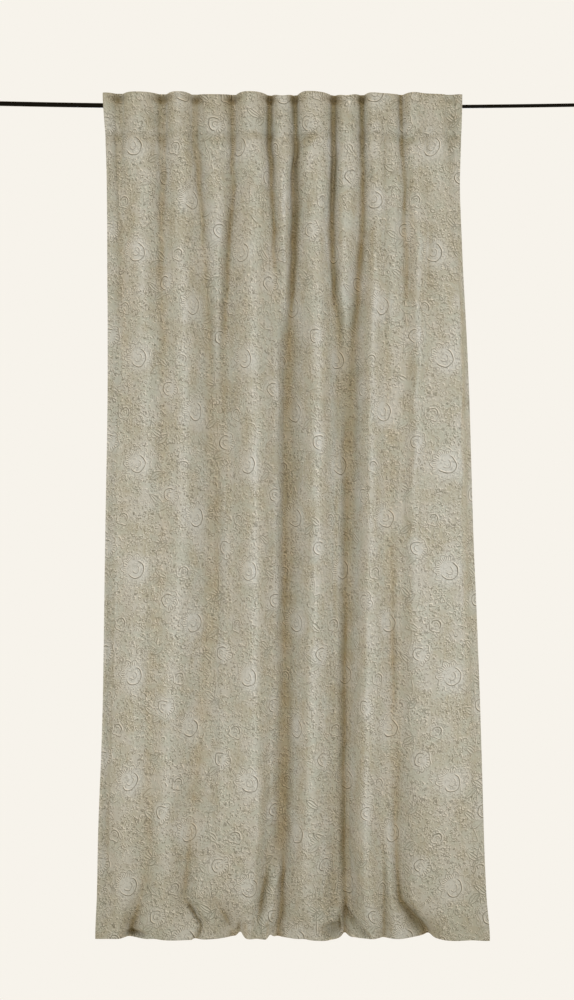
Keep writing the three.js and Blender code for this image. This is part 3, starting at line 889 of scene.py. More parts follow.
def filler(finish, x, y, shift):
    """The filler's lines, moved as a whole by the shift."""
    stray_x, stray_y = wobbled(finish, x, y, WANDER, WANDER_PITCH, WANDER_SEEDS)
    lines = 0
    for kind in SCROLLS:
        lines = scroll(finish, stray_x, stray_y, shift, kind).most(lines)
    for kind in DABS:
        lines = dab(finish, stray_x, stray_y, shift, kind).most(lines)
    return lines


# %% [markdown]
# The ground comes first. Dyeing leaves blotches, patches and faint upright streaks on a real cloth, and
# four slow noises on the flat cloth bring two or three near colours together in the same way.

# %% The ground
BLOTCH_PITCH = 105
PATCH_PITCH = 42
STREAK_PITCH = 9
STREAK_LONG = 0.03  # how slowly a streak changes on its way down
GREEN_PITCH = 60
PATCH_SEED = 57.0
GREEN_SEED = 19.0
ROUGH = 0.6  # how much of their finer parts the coarse noises keep
COARSER = 0.6  # the share of the coarser noise where two are added
# The values of the noise at which a tone begins and is full, and how much of the tone is laid on
OLIVE_PLACES = (0.40, 0.60)
GREYED_PLACES = (0.42, 0.60)
GREENED_PLACES = (0.46, 0.62)
OLIVE_SHARE = 0.7
GREYED_SHARE = 0.7
GREENED_SHARE = 0.6


def printed_ground(finish, along, drop):
    """The dyed ground under the print."""
    blotch = finish.noise(finish.vector(along, drop), 1 / BLOTCH_PITCH, 2.0, ROUGH)
    patch = finish.noise(finish.vector(along, drop, PATCH_SEED), 1 / PATCH_PITCH, 2.0, ROUGH)
    streak = finish.noise(finish.vector(along, drop * STREAK_LONG), 1 / STREAK_PITCH, 2.0)
    green = finish.noise(finish.vector(along, drop, GREEN_SEED), 1 / GREEN_PITCH, 2.0)
    olive = (patch * COARSER + streak * (1 - COARSER)).step(*OLIVE_PLACES)
    greyed = (blotch * COARSER + patch * (1 - COARSER)).step(*GREYED_PLACES)
    ground = finish.dye(olive * OLIVE_SHARE, GROUND, OLIVE)
    ground = finish.dye(greyed * GREYED_SHARE, ground, GREYED)
    return finish.dye(green.step(*GREENED_PLACES) * GREENED_SHARE, ground, GREENED)


# %% [markdown]
# The print lies over the ground: the tint of the leaves and the clouds of the rosettes, then every line
# twice, in shadow where it lies and in light a little to one side. The back shows the same print, paler,
# as it strikes through.

# %% The drawn print
WOBBLE = 10  # how far a slow wobble moves the motifs, so that they don't look ruled
WOBBLE_PITCH = 34
WOBBLE_SEEDS = (0.0, 31.0)
LEAF_TINT = 0.35
CLOUD_SHADED_IN_GROOVE = 0.7  # how much of a cloud's pale tone is taken away in a groove, as painted shade
FILLER_ON_LEAF = 0.5  # what the filler loses on a leaf and on a cloud, and a stem on a cloud
FILLER_ON_CLOUD = 0.45
STEM_ON_CLOUD = 0.8
STEM_SHARE = 0.75
# Two noises that thin the filler out and wear the stems away, and the values at which nothing is lost
THIN_PITCH = 60
THIN_SEED = 83.0
THIN_PLACES = (0.30, 0.54)
THIN_LEAST = 0.5  # of the filler's strength, where it is thinnest
WORN_PITCH = 45
WORN_SEED = 11.0
WORN_PLACES = (0.40, 0.60)
LIGHT_SHARE = 0.84
LIT_SHADOW = 0.4  # what a shadow loses to the light of the next line


def printed_lines(finish, along, drop):
    """The print on its ground."""
    printed = printed_ground(finish, along, drop)
    x, y = wobbled(finish, along, drop, WOBBLE, WOBBLE_PITCH, WOBBLE_SEEDS)

    blades, clouds = vine(x, y)[0], 0
    for motif in ROSETTES:
        clouds = rosette(finish, x, y, motif)[0].most(clouds)
    printed = finish.dye(blades * LEAF_TINT, printed, GREENED)
    # painted shade: the pale clouds are weakened in the grooves
    printed = finish.dye(clouds * (1 - finish.attribute("groove_shade") * CLOUD_SHADED_IN_GROOVE), printed, CLOUD)

    thinned = finish.noise(finish.vector(along, drop, THIN_SEED), 1 / THIN_PITCH, 2.0, ROUGH)
    fullness = thinned.step(*THIN_PLACES) * (1 - THIN_LEAST) + THIN_LEAST
    fullness = fullness * (1 - blades * FILLER_ON_LEAF) * (1 - clouds * FILLER_ON_CLOUD)
    worn = finish.noise(finish.vector(along, drop, WORN_SEED), 1 / WORN_PITCH, 1.0)
    worn = worn.step(*WORN_PLACES) * STEM_SHARE
    drawn = []
    for shift in (0, RAISED):
        motif_x, motif_y = x - shift, y + shift
        lines = vine(motif_x, motif_y)[1] * worn * (1 - clouds * STEM_ON_CLOUD)
        for motif in ROSETTES:
            lines = rosette(finish, motif_x, motif_y, motif)[1].most(lines)
        drawn.append(lines.most(filler(finish, x, y, shift) * (fullness * FILLER_SHARE)))
    shadow, light = drawn
    printed = finish.dye((light - shadow) * LIGHT_SHARE, printed, LIGHT)
    return finish.dye(shadow - light * LIT_SHADOW, printed, SHADOW)


# %% [markdown]
# Painted shade and light lie over the print, each multiplying the colour. Where the cloth is trebled at the
# heading and doubled at the hems it is painted a little darker. A painted shade lies in patches below the
# seam and grows towards the foot. The grooves are painted browner and darker as shade, the crests are
# painted lighter, and the top edge is painted darker where it leans back over the rod and the straps. The
# last three follow the folds, so the mesh will keep a number for each at its points.

# %% Painted shade and light
FOOT_DARKENS_FROM = 2130
# painted shade: the trebled heading and the doubled hems are painted darker
LAYERED_SHADE = (0.95, 0.945, 0.93, 1)
# painted shade: darker along the seam and towards the foot
SEAM_AND_FOOT_SHADE = (0.90, 0.895, 0.87, 1)
# painted shade: the grooves are painted browner and darker
GROOVE_SHADE = (0.99, 0.865, 0.69, 1)
# painted shade: darker where the heading leans back over the rod, and towards the foot
LEAN_AND_FOOT_SHADE = (0.70, 0.66, 0.58, 1)
# painted light: the crests are painted lighter and cooler
CREST_LIGHT = (1.045, 1.055, 1.075, 1)
LAYERED_SHADE_FOOT = 0.4  # how much of the painted shade the hems get, against the trebled heading
LAYERED_SHADE_SIDES = 0.6
HEADING_ENDS = (4, -1)  # how far below its seam the heading's painted shade has gone, and where it is full
HEM_ENDS = 1  # the same to each side of a hem's inner edge
SEAM_SHADE_STRAYS = 60
SEAM_SHADE_FADES = 3  # reaches below the seam where its painted shade has gone
UNEVEN_PITCH = 55  # of the noise that lays the painted seam shade and the painted groove shade unevenly
UNEVEN_SEED = 41.0
SHADE_PATCH_PLACES = (0.35, 0.6)
GROOVE_SHADE_LEAST = 0.6  # of the painted groove shade, where it is thinnest


def shaded_cloth(finish, along, drop, printed):
    """The print with painted shade and light laid over it."""
    from_side = along.least(PANEL_WIDTH - along)
    at_foot = (drop - DROP + BOTTOM_HEM).step(-HEM_ENDS, HEM_ENDS)
    at_side = (from_side - SIDE_HEM).step(HEM_ENDS, -HEM_ENDS)
    # painted shade: darker over the trebled heading and the doubled hems
    layered_shade = (drop - HEADING_BAND).step(*HEADING_ENDS).most(at_foot * LAYERED_SHADE_FOOT)
    layered_shade = layered_shade.most(at_side * LAYERED_SHADE_SIDES)
    printed = finish.dye(layered_shade, printed, LAYERED_SHADE, "MULTIPLY")

    # painted shade: darker towards the foot and, in patches, just below the seam
    foot_darkening = (drop - FOOT_DARKENS_FROM).step(0, DROP - BOTTOM_HEM - FOOT_DARKENS_FROM)
    uneven = finish.noise(finish.vector(along, drop, UNEVEN_SEED), 1 / UNEVEN_PITCH, 2.0, ROUGH)
    shade_patches = uneven.step(*SHADE_PATCH_PLACES)
    below_seam = drop - SEAM_DROP - (uneven - 0.5) * SEAM_SHADE_STRAYS
    seam_shade = below_seam.step(SEAM_SHADE_FADES * SEAM_REACH, SEAM_REACH)
    seam_shade = below_seam.step(-SEAM_REACH, 0) * seam_shade
    printed = finish.dye(foot_darkening.most(seam_shade * shade_patches), printed, SEAM_AND_FOOT_SHADE, "MULTIPLY")

    # painted shade: the grooves are painted browner and darker, unevenly
    painted_shading = finish.attribute("groove_shade") * (shade_patches * (1 - GROOVE_SHADE_LEAST) + GROOVE_SHADE_LEAST)
    printed = finish.dye(painted_shading, printed, GROOVE_SHADE, "MULTIPLY")
    # painted light: lighter and cooler on the crests
    printed = finish.dye(finish.attribute("crest_light"), printed, CREST_LIGHT, "MULTIPLY")
    # painted shade: darker where the heading leans back, and towards the foot
    return finish.dye(finish.attribute("rod_and_foot_shade"), printed, LEAN_AND_FOOT_SHADE, "MULTIPLY")


# %% [markdown]
# The weave and the slubs are bump, because single threads are far thinner than the print. The cloth is
# matt, with the faint sheen of its loose fibres.

# %% The finish of the cloth
WEAVE_PITCH = 1.1
WEAVE_SHARE = 0.5  # of the slubs' height
SLUB_PITCH = 1.6
SLUB_ALONG = 0.06  # how slowly a slub changes along its own thread, across the cloth and down it
SLUB_DOWN = 0.05
THREAD_HEIGHT = 0.0004
THREAD_STRENGTH = 0.35
BACK_STRIKE = 0.4  # how strongly the print strikes through to the back


def printed_cloth(name, strike):
    """strike is how strongly the print shows: 1 on the face of the cloth, less on its back."""
    finish = Finish(name, roughness=0.9, sheen_weight=0.06, sheen_roughness=0.5, specular_ior_level=0.25)
    flat = finish.node("ShaderNodeUVMap", {"uv_map": "flat_cloth"})
    along = finish.node("ShaderNodeSeparateXYZ", None, (flat,), "X") * PANEL_WIDTH
    drop = (1 - finish.node("ShaderNodeSeparateXYZ", None, (flat,), "Y")) * DROP
    printed = finish.dye(strike, STRUCK_THROUGH, printed_lines(finish, along, drop))
    printed = shaded_cloth(finish, along, drop, printed)

    warp = (along * (2 * np.pi / WEAVE_PITCH)).sin()
    weft = (drop * (2 * np.pi / WEAVE_PITCH)).sin()
    slub = finish.noise(finish.vector(along * SLUB_ALONG, drop), 1 / SLUB_PITCH, 2.0)
    slub = slub + finish.noise(finish.vector(along, drop * SLUB_DOWN), 1 / SLUB_PITCH, 2.0)
    normal = finish.bump(warp * weft * WEAVE_SHARE + slub, THREAD_STRENGTH, THREAD_HEIGHT)
    return finish.show(base_color=printed, normal=normal)


cloth_face = printed_cloth("printed_cloth_face", 1.0)
cloth_back = printed_cloth("printed_cloth_back", BACK_STRIKE)
print("nodes in the print:", len(cloth_face.node_tree.nodes))

# %% [markdown]
# ## The curtain
#
# Now the sheet is made, and each of its points keeps the painted shade of its groove, the painted light of
# its crest, and the painted shade where the heading leans back and near the foot. A point is in a groove
# where it lies behind the average of the threads around it. The lamps alone would leave the grooves grey,
# so their brown shade is painted, and the same numbers on the mesh bake well, where a test of the shape in
# the material wouldn't.

# %% The curtain
GROOVE_SPAN = 49  # threads of the grid that a groove is measured against
GROOVE_WALLS = 6  # how far in front of them the painted groove shade begins, so that it climbs the groove's walls
GROOVE_FULL = 44  # how much deeper than that a point has to lie to get the full painted groove shade
STEEP = (0.50, 1.0)  # the rise per millimetre of cloth at which a wall begins to get painted shade, and gets it fully
STEEP_SHARE = 0.4  # how much of the painted groove shade the steepest wall gets
HEADING_LESS_SHADE = 0.5  # how much less painted shade the grooves near the heading get, down to the next drop
HEADING_LESS_SHADE_DROP = 4 * HEADING_BAND
CREST_LIGHT_RANGE = (4, 22)  # how far a crest stands forward to get painted light at all, and to get it fully
LEAN_SHADE_DEPTH = 15  # how far back the heading has to lie to get the full painted shade where it leans over the rod and the straps
LEAN_SHADE_REACH = 1.25  # how many times as wide as the lean the painted shade is
FOOT_SHADE = 0.15  # how much painted shade the foot gets, and the drops where that sets in and is full
FOOT_SHADE_DROPS = (1900, 2200)

window = np.hanning(GROOVE_SPAN + 2)[1:-1]
padded = np.pad(grid_out, ((0, 0), (GROOVE_SPAN // 2, GROOVE_SPAN // 2)), mode="edge")
around = np.array([np.convolve(row, window / window.sum(), mode="valid") for row in padded])
# painted shade in the grooves: how far a point lies behind the threads around it, and how steep its wall is
groove_shade = smooth(0, 1, (around - grid_out + GROOVE_WALLS) / GROOVE_FULL)
steepness = np.abs(np.gradient(grid_out, axis=1)) * (COLUMNS - 1) / PANEL_WIDTH
groove_shade = np.maximum(groove_shade, STEEP_SHARE * smooth(*STEEP, steepness))
groove_shade *= 1 - HEADING_LESS_SHADE * (1 - smooth(HEADING_BAND, HEADING_LESS_SHADE_DROP, grid_drop))
groove_shade *= smooth(0, 2 * SIDE_HEM, from_side)

# painted shade where the heading leans back over the rod and the straps, and a little towards the foot
rod_and_foot_shade = smooth(0, 1, leaned(grid_x, grid_drop, LEAN_SHADE_REACH) / LEAN_SHADE_DEPTH)
rod_and_foot_shade = np.maximum(rod_and_foot_shade, FOOT_SHADE * smooth(*FOOT_SHADE_DROPS, grid_drop))
# painted light on the crests: how far a point stands in front of the threads around it
crest_light = smooth(*CREST_LIGHT_RANGE, grid_out - around)

flat_cloth = np.stack([grid_along / PANEL_WIDTH, 1 - grid_drop / DROP], axis=-1)
curtain = sheet_mesh("curtain_cloth", front, back, flat_cloth, [cloth_face, cloth_back])
# The name of each painted shade or light, its numbers on the front, and those on the back
shading_maps = (("groove_shade", groove_shade, groove_shade * 0), ("crest_light", crest_light, crest_light), ("rod_and_foot_shade", rod_and_foot_shade, rod_and_foot_shade))
for shading_name, on_front, on_back in shading_maps:
    painted_shading = curtain.data.attributes.new(shading_name, "FLOAT", "POINT")
    painted_shading.data.foreach_set("value", np.concatenate([on_front.ravel(), on_back.ravel(), rim_loop(on_front)]))
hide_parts("curtain_panel")
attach(curtain, "root")
print("cloth triangles:", sum(len(p.vertices) - 2 for p in curtain.data.polygons))

# %% [markdown]
# ## The stitches
#
# One seam runs across the cloth at the foot of the heading, and one down each side hem. A machine stitch
# shows as a row of short, slightly sunk stitches with small gaps, so each one is a tiny capsule laid
# along the cloth. They are a single mesh, because a thousand objects would be slow to handle. The hem at
# the bottom is blind stitched and shows nothing. The thread is matt, in the tones of the cloth's ground.

# %% Stitches along the seams
STITCH_PITCH = 5.0
STITCH_LONG = 3.4
STITCH_RADIUS = 0.42
STITCH_SIDES = 5
STITCH_SUNK = 0.5  # how high its middle stands, in radii
# Where each ring of it lies along its length, and how wide that is
STITCH_RINGS = [(-0.5, 0.25), (-0.36, 1.0), (0.36, 1.0), (0.5, 0.25)]
SEAM_INSIDE = 3.0  # how far inside the edge of a hem its seam runs
SEAM_CLEAR = 8  # how far from the ends of a seam its first and last stitch lie
SIDE_CLEAR = (6, 4)  # the same for the side hems, below the heading and above the foot
THREAD_PITCH = 900.0  # turns of the noise per metre
THREAD_TONES = (0.35, 0.65)


def on_cloth(along, drop):
    """Points of the front grid at places of the flat cloth, and the directions off it there."""
    column = np.interp(along, grid_along[0], np.arange(COLUMNS))
    row = np.interp(drop, drops, np.arange(len(drops)))
    c, r = np.minimum(column.astype(int), COLUMNS - 2), np.minimum(row.astype(int), len(drops) - 2)
    cf, rf = (column - c)[:, None], (row - r)[:, None]

    def blend(grid):
        upper = grid[r, c] * (1 - cf) + grid[r, c + 1] * cf
        lower = grid[r + 1, c] * (1 - cf) + grid[r + 1, c + 1] * cf
        return upper * (1 - rf) + lower * rf

    return blend(front), -blend(facing_back)


def stitch_row(middle, lengthwise, off):
    """Vertices and faces of capsules centred at the given places, each pointing the way the seam runs."""
    lengthwise = lengthwise / np.linalg.norm(lengthwise, axis=1, keepdims=True)
    sideways = np.cross(lengthwise, off)
    middle = middle + off * STITCH_RADIUS * STITCH_SUNK
    angles = np.arange(STITCH_SIDES) * 2 * np.pi / STITCH_SIDES
    rings = []
    for place, width in STITCH_RINGS:
        for angle in angles:
            spoke = np.cos(angle) * off + np.sin(angle) * sideways
            rings.append(middle + lengthwise * place * STITCH_LONG + spoke * STITCH_RADIUS * width)
    vertices = np.stack(rings, axis=1).reshape(-1, 3)
    per_stitch = len(STITCH_RINGS) * STITCH_SIDES
    faces = []
    for start in range(0, len(vertices), per_stitch):
        for ring in range(len(STITCH_RINGS) - 1):
            low = start + ring * STITCH_SIDES
            for side in range(STITCH_SIDES):
                near, far = low + side, low + (side + 1) % STITCH_SIDES
                faces.append((near, far, far + STITCH_SIDES, near + STITCH_SIDES))
        faces.append(tuple(start + side for side in reversed(range(STITCH_SIDES))))
        faces.append(tuple(start + per_stitch - STITCH_SIDES + side for side in range(STITCH_SIDES)))
    return vertices, faces


def cloth_row(along, drop, along_step, drop_step):
    """A row of stitches on the front of the cloth."""
    middle, off = on_cloth(along, drop)
    ahead, _ = on_cloth(along + along_step, drop + drop_step)
    return stitch_row(middle, ahead - middle, off)


def joined(parts):
    """Several lists of vertices and faces as one."""
    vertices, faces, count = [], [], 0
    for part_vertices, part_faces in parts:
        vertices.append(part_vertices)
        faces += [tuple(v + count for v in face) for face in part_faces]
        count += len(part_vertices)
    return np.concatenate(vertices), faces


heading_run = np.arange(SEAM_CLEAR, PANEL_WIDTH - SEAM_CLEAR, STITCH_PITCH)
side_run = np.arange(HEADING_BAND + SIDE_CLEAR[0], DROP - BOTTOM_HEM - SIDE_CLEAR[1], STITCH_PITCH)
seams = [cloth_row(heading_run, np.full(len(heading_run), HEADING_BAND - SEAM_INSIDE), 1, 0)]
for seam_along in (SIDE_HEM - SEAM_INSIDE, PANEL_WIDTH - SIDE_HEM + SEAM_INSIDE):
    seams.append(cloth_row(np.full(len(side_run), seam_along), side_run, 0, 1))

thread = Finish("sewing_thread", roughness=0.7, sheen_weight=0.1)
thread_place = thread.node("ShaderNodeTexCoord", None, (), "Object")
thread_twist = thread.noise(thread_place, THREAD_PITCH, 1.0).step(*THREAD_TONES)
thread_tone = thread.dye(thread_twist, OLIVE, GROUND)
thread_look = thread.show(base_color=thread_tone)
stitches = mesh_object("seam_stitches", *joined(seams), [thread_look])
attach(stitches, "root")
print("stitches:", sum(len(part[0]) for part in seams) // (len(STITCH_RINGS) * STITCH_SIDES))

# %% [markdown]
# ## The straps behind the heading
#
# Ten straps of plain tape hold the cloth on the rod. Each is sewn on near the top edge, passes over the
# rod and down behind it, and is sewn again at the foot of the heading. From the front they are hidden,
# but they show from behind and from above. Each is a sheet: a line seen from the side, the same as its
# solid's, swept over the strap's width. A curve with a bevel would be quicker to draw, but it wouldn't
# stay on the solid. Two rows of stitches at each end show where a strap is sewn down.

# %% The line of a strap
TAB_THICKNESS = 1.6
TAB_TOP_SEAM = 10
TAB_BOTTOM_SEAM = 12
TAB_BELOW_EDGE = 4
SEAM_GAP = 0.3
WIDE_TUBE_END = 95
TAB_ARC_STEPS = 16
TAB_LENGTHWISE = 90
TAB_COLUMNS = 9
TAB_CROWN = 0.25  # how much thinner its sides are than its middle
TAB_SWAY = 0.5  # how far it strays to each side
TAB_SWAY_WAVE = 29  # how much of its length a radian of that wave takes
SEWN_ENDS = (14, 30)  # how far beyond the upper and the lower seam the strap follows the cloth


def strap_line(rod_radius, out):
    """The strap's middle line from the side, as y and z about the rod's axis."""
    seam_y = CLOTH_FRONT - out + HEADING_CLOTH + SEAM_GAP + TAB_THICKNESS / 2
    top_z = HEADER - TAB_BELOW_EDGE
    leave_z = top_z - TAB_TOP_SEAM
    foot_z = HEADER - HEADING_BAND
    meet_z = foot_z + TAB_BOTTOM_SEAM
    wrap = rod_radius + SEAM_GAP + TAB_THICKNESS / 2
    start = np.arctan2(leave_z, seam_y) - np.arccos(wrap / np.hypot(seam_y, leave_z))
    end = np.arctan2(meet_z, seam_y) + np.arccos(wrap / np.hypot(seam_y, meet_z))
    angles = np.linspace(start, end, TAB_ARC_STEPS)
    arc = np.stack([np.cos(angles), np.sin(angles)], 1) * wrap
    return np.concatenate([[[seam_y, top_z], [seam_y, leave_z]], arc, [[seam_y, meet_z], [seam_y, foot_z]]])


def evenly(line, count):
    """A line of points at even steps, and each one's distance from the start."""
    run = np.append(0, np.cumsum(np.hypot(*np.diff(line, axis=0).T)))
    steps = np.linspace(0, run[-1], count)
    return np.stack([np.interp(steps, run, line[:, k]) for k in (0, 1)], 1), steps


strap_length = evenly(strap_line(ROD_RADIUS_WIDE, 0), 2)[1][-1]
print("strap length:", round(float(strap_length), 1), "mm")


# %% [markdown]
# The tape is woven in a herringbone: slanting ribs that turn back on each other, between two firm edges. Seen
# from the room it is only a pale strip, so waves on its flat length and width are enough, and no thread is
# modelled.

# %% Plain tape
TAPE_LIGHT = (0.60, 0.565, 0.475, 1)
TAPE_DARK = (0.44, 0.41, 0.335, 1)
TAPE_RIB = 1.25
TAPE_ZIGZAG = 8  # the width of the herringbone
TAPE_THREAD = 2.5
TAPE_EDGE = (1.6, 1.0)  # how far from the side the firm edge begins and is full
TAPE_EDGE_SHARE = 0.35
# The ribs' and the threads' shares of the tone and of the height, and where the tone turns light
TAPE_TONE_SHARES = (0.25, 0.7)
TAPE_TONE_PLACES = (0.1, 0.7)
TAPE_HEIGHT_SHARES = (0.5, 0.4)
TAPE_STRENGTH = 0.5
TAPE_HEIGHT = 0.00025


def plain_tape(name):
    """A narrow woven tape: herringbone ribs between two firm edges."""
    finish = Finish(name, roughness=0.85, sheen_weight=0.08, specular_ior_level=0.3)
    flat = finish.node("ShaderNodeUVMap", {"uv_map": "flat_cloth"})
    across = finish.node("ShaderNodeSeparateXYZ", None, (flat,), "X") * TAB_WIDTH
    lengthwise = finish.node("ShaderNodeSeparateXYZ", None, (flat,), "Y") * float(strap_length)
    zigzag = abs(across % TAPE_ZIGZAG - TAPE_ZIGZAG / 2)
    rib = ((lengthwise + zigzag) * (2 * np.pi / TAPE_RIB)).sin()
    thread = finish.noise(finish.vector(across, lengthwise), 1 / TAPE_THREAD, 2.0)
    edge = abs(across - TAB_WIDTH / 2).step(TAB_WIDTH / 2 - TAPE_EDGE[0], TAB_WIDTH / 2 - TAPE_EDGE[1])
    light = rib * TAPE_TONE_SHARES[0] + thread * TAPE_TONE_SHARES[1]
    tone = finish.dye(light.step(*TAPE_TONE_PLACES), TAPE_DARK, TAPE_LIGHT)
    tone = finish.dye(edge * TAPE_EDGE_SHARE, tone, TAPE_DARK)
    height = rib * TAPE_HEIGHT_SHARES[0] + thread * TAPE_HEIGHT_SHARES[1]
    return finish.show(base_color=tone, normal=finish.bump(height, TAPE_STRENGTH, TAPE_HEIGHT))


tape = plain_tape("plain_tape_weave")

# %% The straps
STRAP_STITCHES = 5  # across a strap, in each of its four rows
STRAP_SEAM_INSIDE = 2  # how far the rows lie from the ends of what is sewn down
strap_rows = []
for number, tab in enumerate(TABS, start=1):
    tab_x, tab_out = tab["x"][0], tab["out"][0]
    rod_radius = ROD_RADIUS_WIDE if tab_x < WIDE_TUBE_END else ROD_RADIUS_SLIM
    line, run = evenly(strap_line(rod_radius, tab_out), TAB_LENGTHWISE)
    lower_seam = run[-1] - TAB_BOTTOM_SEAM
    sewn = 1 - smooth(TAB_TOP_SEAM, TAB_TOP_SEAM + SEWN_ENDS[0], run)
    sewn = np.maximum(sewn, smooth(lower_seam - SEWN_ENDS[1], lower_seam, run))
    line[:, 0] += sewn * drawn_back(tab_x, HEADER - line[:, 1], tab_out)
    ahead = np.gradient(line, axis=0)
    ahead /= np.linalg.norm(ahead, axis=1, keepdims=True)
    outward = np.stack([-ahead[:, 1], ahead[:, 0]], 1)  # away from the rod
    across = np.linspace(-0.5, 0.5, TAB_COLUMNS)
    crown = TAB_CROWN * (2 * across) ** 2
    sway = TAB_SWAY * np.sin(run / TAB_SWAY_WAVE + number)
    sides = []
    for face in (1, -1):
        away = (face * TAB_THICKNESS / 2 - crown[None, :] * (face > 0)) * np.ones((len(line), 1))
        points = np.empty((len(line), TAB_COLUMNS, 3))
        points[..., 0] = tab_x + across[None, :] * TAB_WIDTH + sway[:, None]
        points[..., 1] = line[:, :1] + outward[:, :1] * away
        points[..., 2] = line[:, 1:] + outward[:, 1:] * away + rod_height(tab_x)
        sides.append(points)
    flat_strap = np.stack(np.meshgrid(across + 0.5, run / run[-1]), axis=-1)
    strap = sheet_mesh(f"tape_strap_{number}", sides[0], sides[1], flat_strap, [tape, tape])
    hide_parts(f"back_tab_{number}")
    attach(strap, "root")

    outer, inner = sides
    ends = (0, TAB_TOP_SEAM, lower_seam, run[-1])
    for place, inside in zip(ends, (1, -1, 1, -1)):
        row = int(np.abs(run - place - inside * STRAP_SEAM_INSIDE).argmin())
        pick = np.linspace(1, TAB_COLUMNS - 2, STRAP_STITCHES)
        middle = np.stack([np.interp(pick, np.arange(TAB_COLUMNS), outer[row, :, k]) for k in range(3)], 1)
        off = outer[row, TAB_COLUMNS // 2] - inner[row, TAB_COLUMNS // 2]
        off = np.repeat(off[None] / np.linalg.norm(off), STRAP_STITCHES, axis=0)
        strap_rows.append(stitch_row(middle, np.repeat([[1.0, 0, 0]], STRAP_STITCHES, axis=0), off))

strap_stitches = mesh_object("strap_stitches", *joined(strap_rows), [thread_look])
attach(strap_stitches, "root")
print("straps:", len(TABS), "rows of stitches:", len(strap_rows))

# %% [markdown]
# ## The rod
#
# The rod is two steel tubes lacquered black, a slim one that slides out of a wide one, both bowed a
# little under the cloth's weight. A tube is a profile turned about its axis, which is how the real one's
# round comes about too, and then each point is lifted to the bow. The mouth of the wide tube is rolled in
# over the slim one.

# %% Turned tubes
ROD_SIDES = 64
ROD_STEPS = 120
RIM_STEPS = 6
WALL = 0.8
LIP = 0.7
MOUTH_DEPTH = 30  # how deep an open end shows its bore
SLIM_START = -20  # where the slim tube begins, inside the wide one


def rounded_rim(middle_x, radius, start, end):
    """A quarter turn of a rounded rim, as x and radius."""
    turn = np.linspace(start, end, RIM_STEPS)
    return np.stack([middle_x + LIP * np.cos(turn), radius + LIP * np.sin(turn)], 1)


def turned_tube(name, profile, finish):
    """A profile turned about the rod's axis, and lifted to the rod's bow."""
    angles = np.arange(ROD_SIDES) * 2 * np.pi / ROD_SIDES
    x, radius = profile.T
    rings = np.empty((len(profile), ROD_SIDES, 3))
    rings[..., 0] = x[:, None]
    rings[..., 1] = radius[:, None] * np.cos(angles)
    rings[..., 2] = radius[:, None] * np.sin(angles) + rod_height(x)[:, None]
    number = np.arange(rings.shape[0] * ROD_SIDES).reshape(-1, ROD_SIDES)
    beside = np.roll(number, -1, axis=1)
    faces = np.stack([number[:-1], number[1:], beside[1:], beside[:-1]], -1).reshape(-1, 4).tolist()
    faces += [number[0][::-1].tolist(), number[-1].tolist()]
    return mesh_object(name, rings.reshape(-1, 3), faces, [finish])


def tube_profile(start, end, radius, open_start):
    """Outside of a tube from start to end with rounded rims, and a short bore at its open ends."""
    straight = np.linspace(start + LIP, end - LIP, ROD_STEPS)
    outside = np.stack([straight, np.full(ROD_STEPS, float(radius))], 1)
    start_rim = rounded_rim(start + LIP, radius - LIP, np.pi, np.pi / 2)
    end_rim = rounded_rim(end - LIP, radius - LIP, np.pi / 2, 0)
    bore = radius - WALL - LIP
    end_bore = [[end - LIP / 2, bore], [end - MOUTH_DEPTH, bore]]
    start_bore = [[start + MOUTH_DEPTH, bore], [start + LIP / 2, bore]] if open_start else []
    return np.array([*start_bore, *start_rim, *outside[1:-1], *end_rim, *end_bore])


# %% [markdown]
# Lacquer on a thin tube is glossy and nearly smooth, with a faint ripple from spraying. Where the tubes
# slide, fine lengthwise scratches have dulled it, so those are stretched noise that changes the roughness
# and a trace of colour.

# %% Black lacquer
LACQUER = (0.0015, 0.0015, 0.0015, 1)
RUBBED = (0.020, 0.019, 0.018, 1)
RUB_FROM = WIDE_TUBE_END * MM
RUB_LONG = 0.12
SCRATCH_PITCHES = (6, 900)  # turns of the noise per metre along the rod and across it
RIPPLE_PITCHES = (30, 120)
RIPPLE_STRENGTH = 0.12
RIPPLE_HEIGHT = 0.0003
SCRATCH_PLACES = (0.55, 0.75)  # the values of the noise at which a scratch begins and is full
SCRATCH_SHARE = 0.8
SCRATCH_DULLS = 0.25  # what a scratch adds to the roughness
DUST_PITCH = 260.0
DUST_PLACES = (0.56, 0.72)
DUST_SHARE = 0.05
DUST_DULLS = 0.10
LACQUER_ROUGHNESS = 0.28


def black_lacquer(name, rubbed):
    """rubbed is 1 where the tubes slide on each other, and 0 where they don't."""
    finish = Finish(name, specular_ior_level=0.10, coat_roughness=0.15)
    place = finish.node("ShaderNodeTexCoord", None, (), "Object")
    x, y, z = (finish.node("ShaderNodeSeparateXYZ", None, (place,), axis) for axis in "XYZ")
    lengthwise, crosswise = SCRATCH_PITCHES
    scratches = finish.vector(x * lengthwise, y * crosswise, z * crosswise)
    scratch = finish.noise(scratches, 1.0, 3.0, ROUGH).step(*SCRATCH_PLACES)
    slide = (x - RUB_FROM).step(RUB_LONG, 0) * rubbed
    dust = finish.noise(place, DUST_PITCH, 2.0).step(*DUST_PLACES)
    tone = finish.dye(scratch * slide * SCRATCH_SHARE + dust * DUST_SHARE, LACQUER, RUBBED)
    rough = dust * DUST_DULLS + scratch * slide * SCRATCH_DULLS + LACQUER_ROUGHNESS
    lengthwise, crosswise = RIPPLE_PITCHES
    ripple = finish.noise(finish.vector(x * lengthwise, y * crosswise, z * crosswise), 1.0, 1.0)
    normal = finish.bump(ripple, RIPPLE_STRENGTH, RIPPLE_HEIGHT)
    return finish.show(base_color=tone, roughness=rough, normal=normal)


